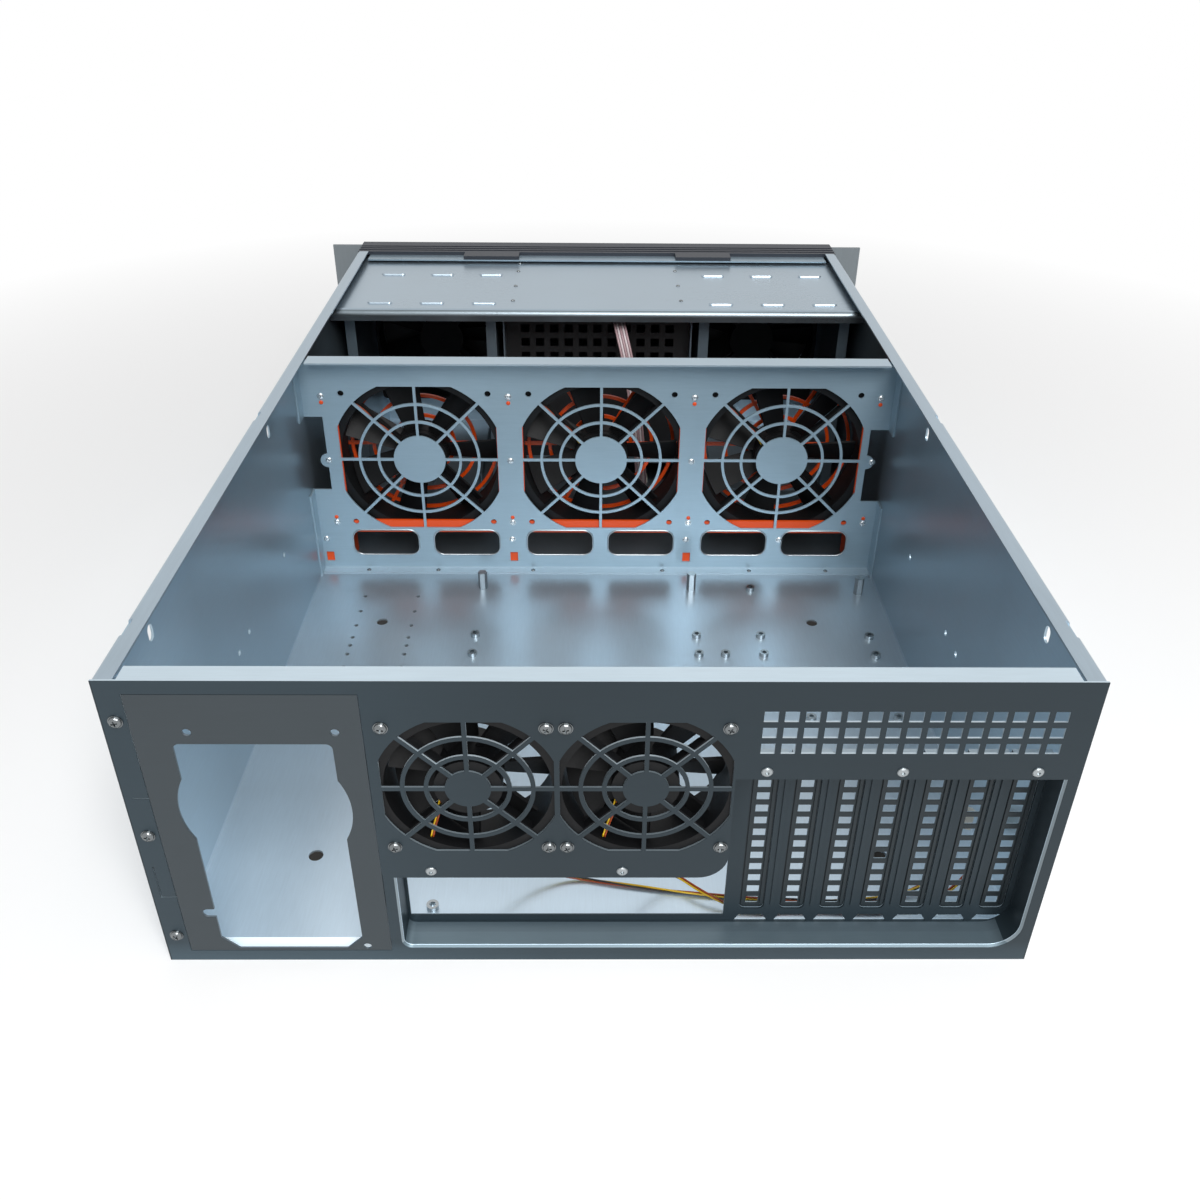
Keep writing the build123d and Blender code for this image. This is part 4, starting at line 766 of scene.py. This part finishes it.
# %% [markdown]
# ## Wires round a route
# At each point of the route a small flat frame (side and up) travels along without twisting.
# A wire's centre is a point in that frame, and its skin is a ring of eight corners round the
# centre. Each wire of a bundle has its own material slot.

# %% Build the bundles
def wire_insulation(name, tint):
    """PVC insulation: smooth and slightly waxy, its gloss uneven over a few millimetres."""
    material, tree, shader, place = new_material(name)
    wax = add_node(tree, "ShaderNodeTexNoise", links={"Vector": place},
                   values={"Scale": 300.0, "Detail": 2.0})
    gloss = add_node(tree, "ShaderNodeMapRange", links={"Value": wax.outputs["Fac"]},
                     values={"To Min": 0.28, "To Max": 0.42})
    tree.links.new(gloss.outputs["Result"], shader.inputs["Roughness"])
    shader.inputs["Base Color"].default_value = colour(tint)
    return material


yellow_wire = wire_insulation("yellow_pvc_wire", "#DDB41E")
brown_wire = wire_insulation("brown_pvc_wire", "#9A3F14")
black_wire = wire_insulation("black_pvc_wire", "#16161A")
pale_wire = wire_insulation("pale_pvc_wire", "#C9BDC0")
pink_wire = wire_insulation("pink_pvc_wire", "#A58A8E")
ring_corners = 8


def travelling_frames(path, first_side):
    """Side and up directions that follow the path without twisting."""
    frames = []
    side = Vector(first_side)
    for place in range(len(path)):
        before = path[max(place - 1, 0)]
        after = path[min(place + 1, len(path) - 1)]
        along = (after - before).normalized()
        side = (side - along * side.dot(along)).normalized()
        frames.append((side.copy(), along.cross(side)))
    return frames


def build_bundle(name, path, first_side, wires, radius, turns):
    """Wires round a path: each has (across, up, material), in metres from its middle."""
    frames = travelling_frames(path, first_side)
    made = bmesh.new()
    for slot, (across, up, _) in enumerate(wires):
        rings = []
        for place, (middle, (side, rise)) in enumerate(zip(path, frames)):
            angle = 2 * math.pi * turns * place / (len(path) - 1)
            a = across * math.cos(angle) - up * math.sin(angle)
            b = across * math.sin(angle) + up * math.cos(angle)
            centre = middle + side * a + rise * b
            ring = []
            for corner in range(ring_corners):
                turn = 2 * math.pi * corner / ring_corners
                offset = side * (radius * math.cos(turn)) + rise * (radius * math.sin(turn))
                ring.append(made.verts.new(centre + offset))
            rings.append(ring)
        for first, second in zip(rings, rings[1:]):
            for corner in range(ring_corners):
                following = (corner + 1) % ring_corners
                face = made.faces.new((first[corner], first[following],
                                       second[following], second[corner]))
                face.material_index = slot
                face.smooth = True
        for ring, order in ((rings[0], -1), (rings[-1], 1)):
            made.faces.new(ring[::order]).material_index = slot
    bmesh.ops.recalc_face_normals(made, faces=made.faces)
    mesh = bpy.data.meshes.new(name)
    made.to_mesh(mesh)
    made.free()
    for _, _, material in wires:
        mesh.materials.append(material)
    piece = bpy.data.objects.new(name, mesh)
    bpy.context.scene.collection.objects.link(piece)
    return piece


wire_radius = 0.5 * MM
bundle_wires = (
    (-0.55 * MM, 0.35 * MM, yellow_wire),
    (0.55 * MM, 0.35 * MM, brown_wire),
    (0.0, -0.6 * MM, black_wire),
)
across = (1, 0, 0)
left_bundle = build_bundle("rear_fan_wires_left", left_path, across, bundle_wires,
                           wire_radius, turns=3)
right_bundle = build_bundle("rear_fan_wires_right", right_path, across, bundle_wires,
                            wire_radius, turns=2)
ribbon_radius = 0.95 * MM
ribbon_spacing = 2 * MM
ribbon_wires = [((n - 2) * ribbon_spacing, 0.0, pale_wire if n % 2 else pink_wire)
                for n in range(5)]
ribbon = build_bundle("drive_ribbon", ribbon_path, across, ribbon_wires, ribbon_radius, turns=0)
lead_width = 0.0022
ribbon_width = 0.010

for piece, node, path, width, plug in (
    (left_bundle, "rear_fan_lead_left", left_path, lead_width, "rear_fan_plug_left"),
    (right_bundle, "rear_fan_lead_right", right_path, lead_width, "rear_fan_plug_right"),
    (ribbon, "drive_lead", ribbon_path, ribbon_width, "drive_lead_plug"),
):
    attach(piece, "case")
    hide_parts(node)
print("bundles", [len(p.data.polygons) for p in (left_bundle, right_bundle, ribbon)])

# %% [markdown]
# ## Wires on the fans' struts
# Two wires run from each motor along a strut to the frame's corner, held down on the strut.
# They belong to the fan: those of the lift-out fans move with their modules.

# %% Lay the strut wires
def strut_path(x, depth, level, radii, angles):
    """Slightly wavy path outwards from a fan's middle."""
    points = []
    for radius, angle in zip(radii, angles):
        turn = math.radians(angle)
        points.append((x + radius * math.cos(turn), depth, level + radius * math.sin(turn)))
    return smooth_route(points)


pair = ((-0.5 * MM, 0.0, yellow_wire), (0.5 * MM, 0.0, brown_wire))
pair_radius = 0.45 * MM
# Where the struts and the fans' middles are, in millimetres, and for each kind of fan the wires'
# distances from its middle, in millimetres, with their angles in degrees
wall_strut_depth = 372.9
wall_fan_level = 96
wall_strut = ((20, 31, 43, 54, 64), (141, 133, 137, 134, 136))
rear_strut_depth = 3.2
rear_fan_level = 115.1
rear_fan_x = {"left": -59.7, "right": 20.3}
rear_strut = ((12.5, 17.4, 23.9, 30.6, 37.4), (196, 219, 231, 236, 240))

for number, x in enumerate(module_x, 1):
    path = strut_path(x, wall_strut_depth, wall_fan_level, *wall_strut)
    tail = build_bundle(f"strut_wires_{number}", path, (1, 0, 1), pair, pair_radius, turns=0)
    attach(tail, f"fan_module_{number}")
for side, x in rear_fan_x.items():
    path = strut_path(x, rear_strut_depth, rear_fan_level, *rear_strut)
    tail = build_bundle(f"rear_strut_wires_{side}", path, across, pair, pair_radius, turns=0)
    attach(tail, "case")
print("strut wires on", len(module_x) + len(rear_fan_x), "fans")

# %% [markdown]
# ## Light and floor
# The case stands on a plain pale floor under one broad soft light from above and another one
# from the camera's side. The background is white only for rays that look straight at it or
# are mirrored in metal: other rays see a dimmer sky, so the white does not wash out the case.
# The floor has a painted shadow under the case, where no light comes, so that its small holes
# look dark, and fades to the same white away from the case.

# %% Floor, world and lamps
def seen_rays(tree):
    """1 for rays that look straight at a thing or see it mirrored or through glass, else 0."""
    rays = add_node(tree, "ShaderNodeLightPath")
    seen = add_node(tree, "ShaderNodeMath", operation="MAXIMUM",
                    links={0: rays.outputs["Is Camera Ray"], 1: rays.outputs["Is Glossy Ray"]})
    seen = add_node(tree, "ShaderNodeMath", operation="MAXIMUM",
                    links={0: seen.outputs["Value"], 1: rays.outputs["Is Transmission Ray"]})
    return seen.outputs["Value"]


def plain_floor():
    """Pale floor with a painted shadow under the case, that fades to white for rays that see it.
    """
    size = 6.0
    shadow_half_width = 200 * MM
    shadow_half_length = 310 * MM
    mesh = bpy.data.meshes.new("floor")
    corners = [(-size, -size, 0), (size, -size, 0), (size, size, 0), (-size, size, 0)]
    mesh.from_pydata(corners, [], [(0, 1, 2, 3)])
    floor = bpy.data.objects.new("floor", mesh)
    bpy.context.scene.collection.objects.link(floor)
    material, tree, shader, place = new_material("plain_floor")
    aside = add_node(tree, "ShaderNodeVectorMath", operation="ABSOLUTE", links={0: place})
    parts = add_node(tree, "ShaderNodeSeparateXYZ", links={"Vector": aside.outputs["Vector"]})
    across = add_node(tree, "ShaderNodeMath", operation="LESS_THAN", values={1: shadow_half_width},
                      links={0: parts.outputs["X"]})
    along = add_node(tree, "ShaderNodeMath", operation="LESS_THAN", values={1: shadow_half_length},
                     links={0: parts.outputs["Y"]})
    under = add_node(tree, "ShaderNodeMath", operation="MULTIPLY",
                     links={0: across.outputs[0], 1: along.outputs[0]})
    # The painted shadow: the floor's colour is dark inside the case's footprint
    tone = add_node(tree, "ShaderNodeMix", data_type="RGBA", links={"Factor": under.outputs[0]},
                    values={"A": colour("#F4F4F4"), "B": colour("#2A2724")})
    tree.links.new(tone.outputs["Result"], shader.inputs["Base Color"])
    shader.inputs["Roughness"].default_value = 0.9
    away = add_node(tree, "ShaderNodeVectorMath", operation="LENGTH", links={0: place})
    far = add_node(tree, "ShaderNodeMapRange", links={"Value": away.outputs["Value"]},
                   values={"From Min": 0.42, "From Max": 1.1})
    white = add_node(tree, "ShaderNodeEmission", values={"Color": (1.0, 1.0, 1.0, 1.0)})
    fade = add_node(tree, "ShaderNodeMath", operation="MULTIPLY",
                    links={0: far.outputs["Result"], 1: seen_rays(tree)})
    blend = add_node(tree, "ShaderNodeMixShader",
                     links={0: fade.outputs[0], 1: shader.outputs["BSDF"],
                            2: white.outputs["Emission"]})
    tree.links.new(blend.outputs["Shader"], tree.nodes["Material Output"].inputs["Surface"])
    mesh.materials.append(material)


def soft_world(plain, shown):
    """White sky: plain is its strength as a light, and shown where a ray sees it."""
    world = bpy.data.worlds.new("soft_world")
    bpy.context.scene.world = world
    world.use_nodes = True
    tree = world.node_tree
    tree.nodes.clear()
    strength = add_node(tree, "ShaderNodeMapRange", links={"Value": seen_rays(tree)},
                        values={"To Min": plain, "To Max": shown})
    sky = add_node(tree, "ShaderNodeBackground", values={"Color": (1.0, 1.0, 1.0, 1.0)},
                   links={"Strength": strength.outputs["Result"]})
    add_node(tree, "ShaderNodeOutputWorld", links={"Surface": sky.outputs["Background"]})


def soft_lamp(name, place, target, size, power):
    """Square area lamp that points at a target."""
    lamp = bpy.data.objects.new(name, bpy.data.lights.new(name, "AREA"))
    lamp.data.size = size
    lamp.data.energy = power
    lamp.location = place
    aim = (Vector(target) - Vector(place)).to_track_quat("-Z", "Y")
    lamp.rotation_euler = aim.to_euler()
    bpy.context.scene.collection.objects.link(lamp)


plain_floor()
soft_world(plain=0.3, shown=1.0)
soft_lamp("top_light", place=(0.3, -0.9, 2.1), target=(0, 0, 0), size=1.4, power=10)
soft_lamp("camera_light", place=(0.5, -2.2, 2.4), target=(0, -0.1, 0.1), size=1.6, power=90)
bpy.context.scene.view_settings.view_transform = "Standard"
print("lights ready")
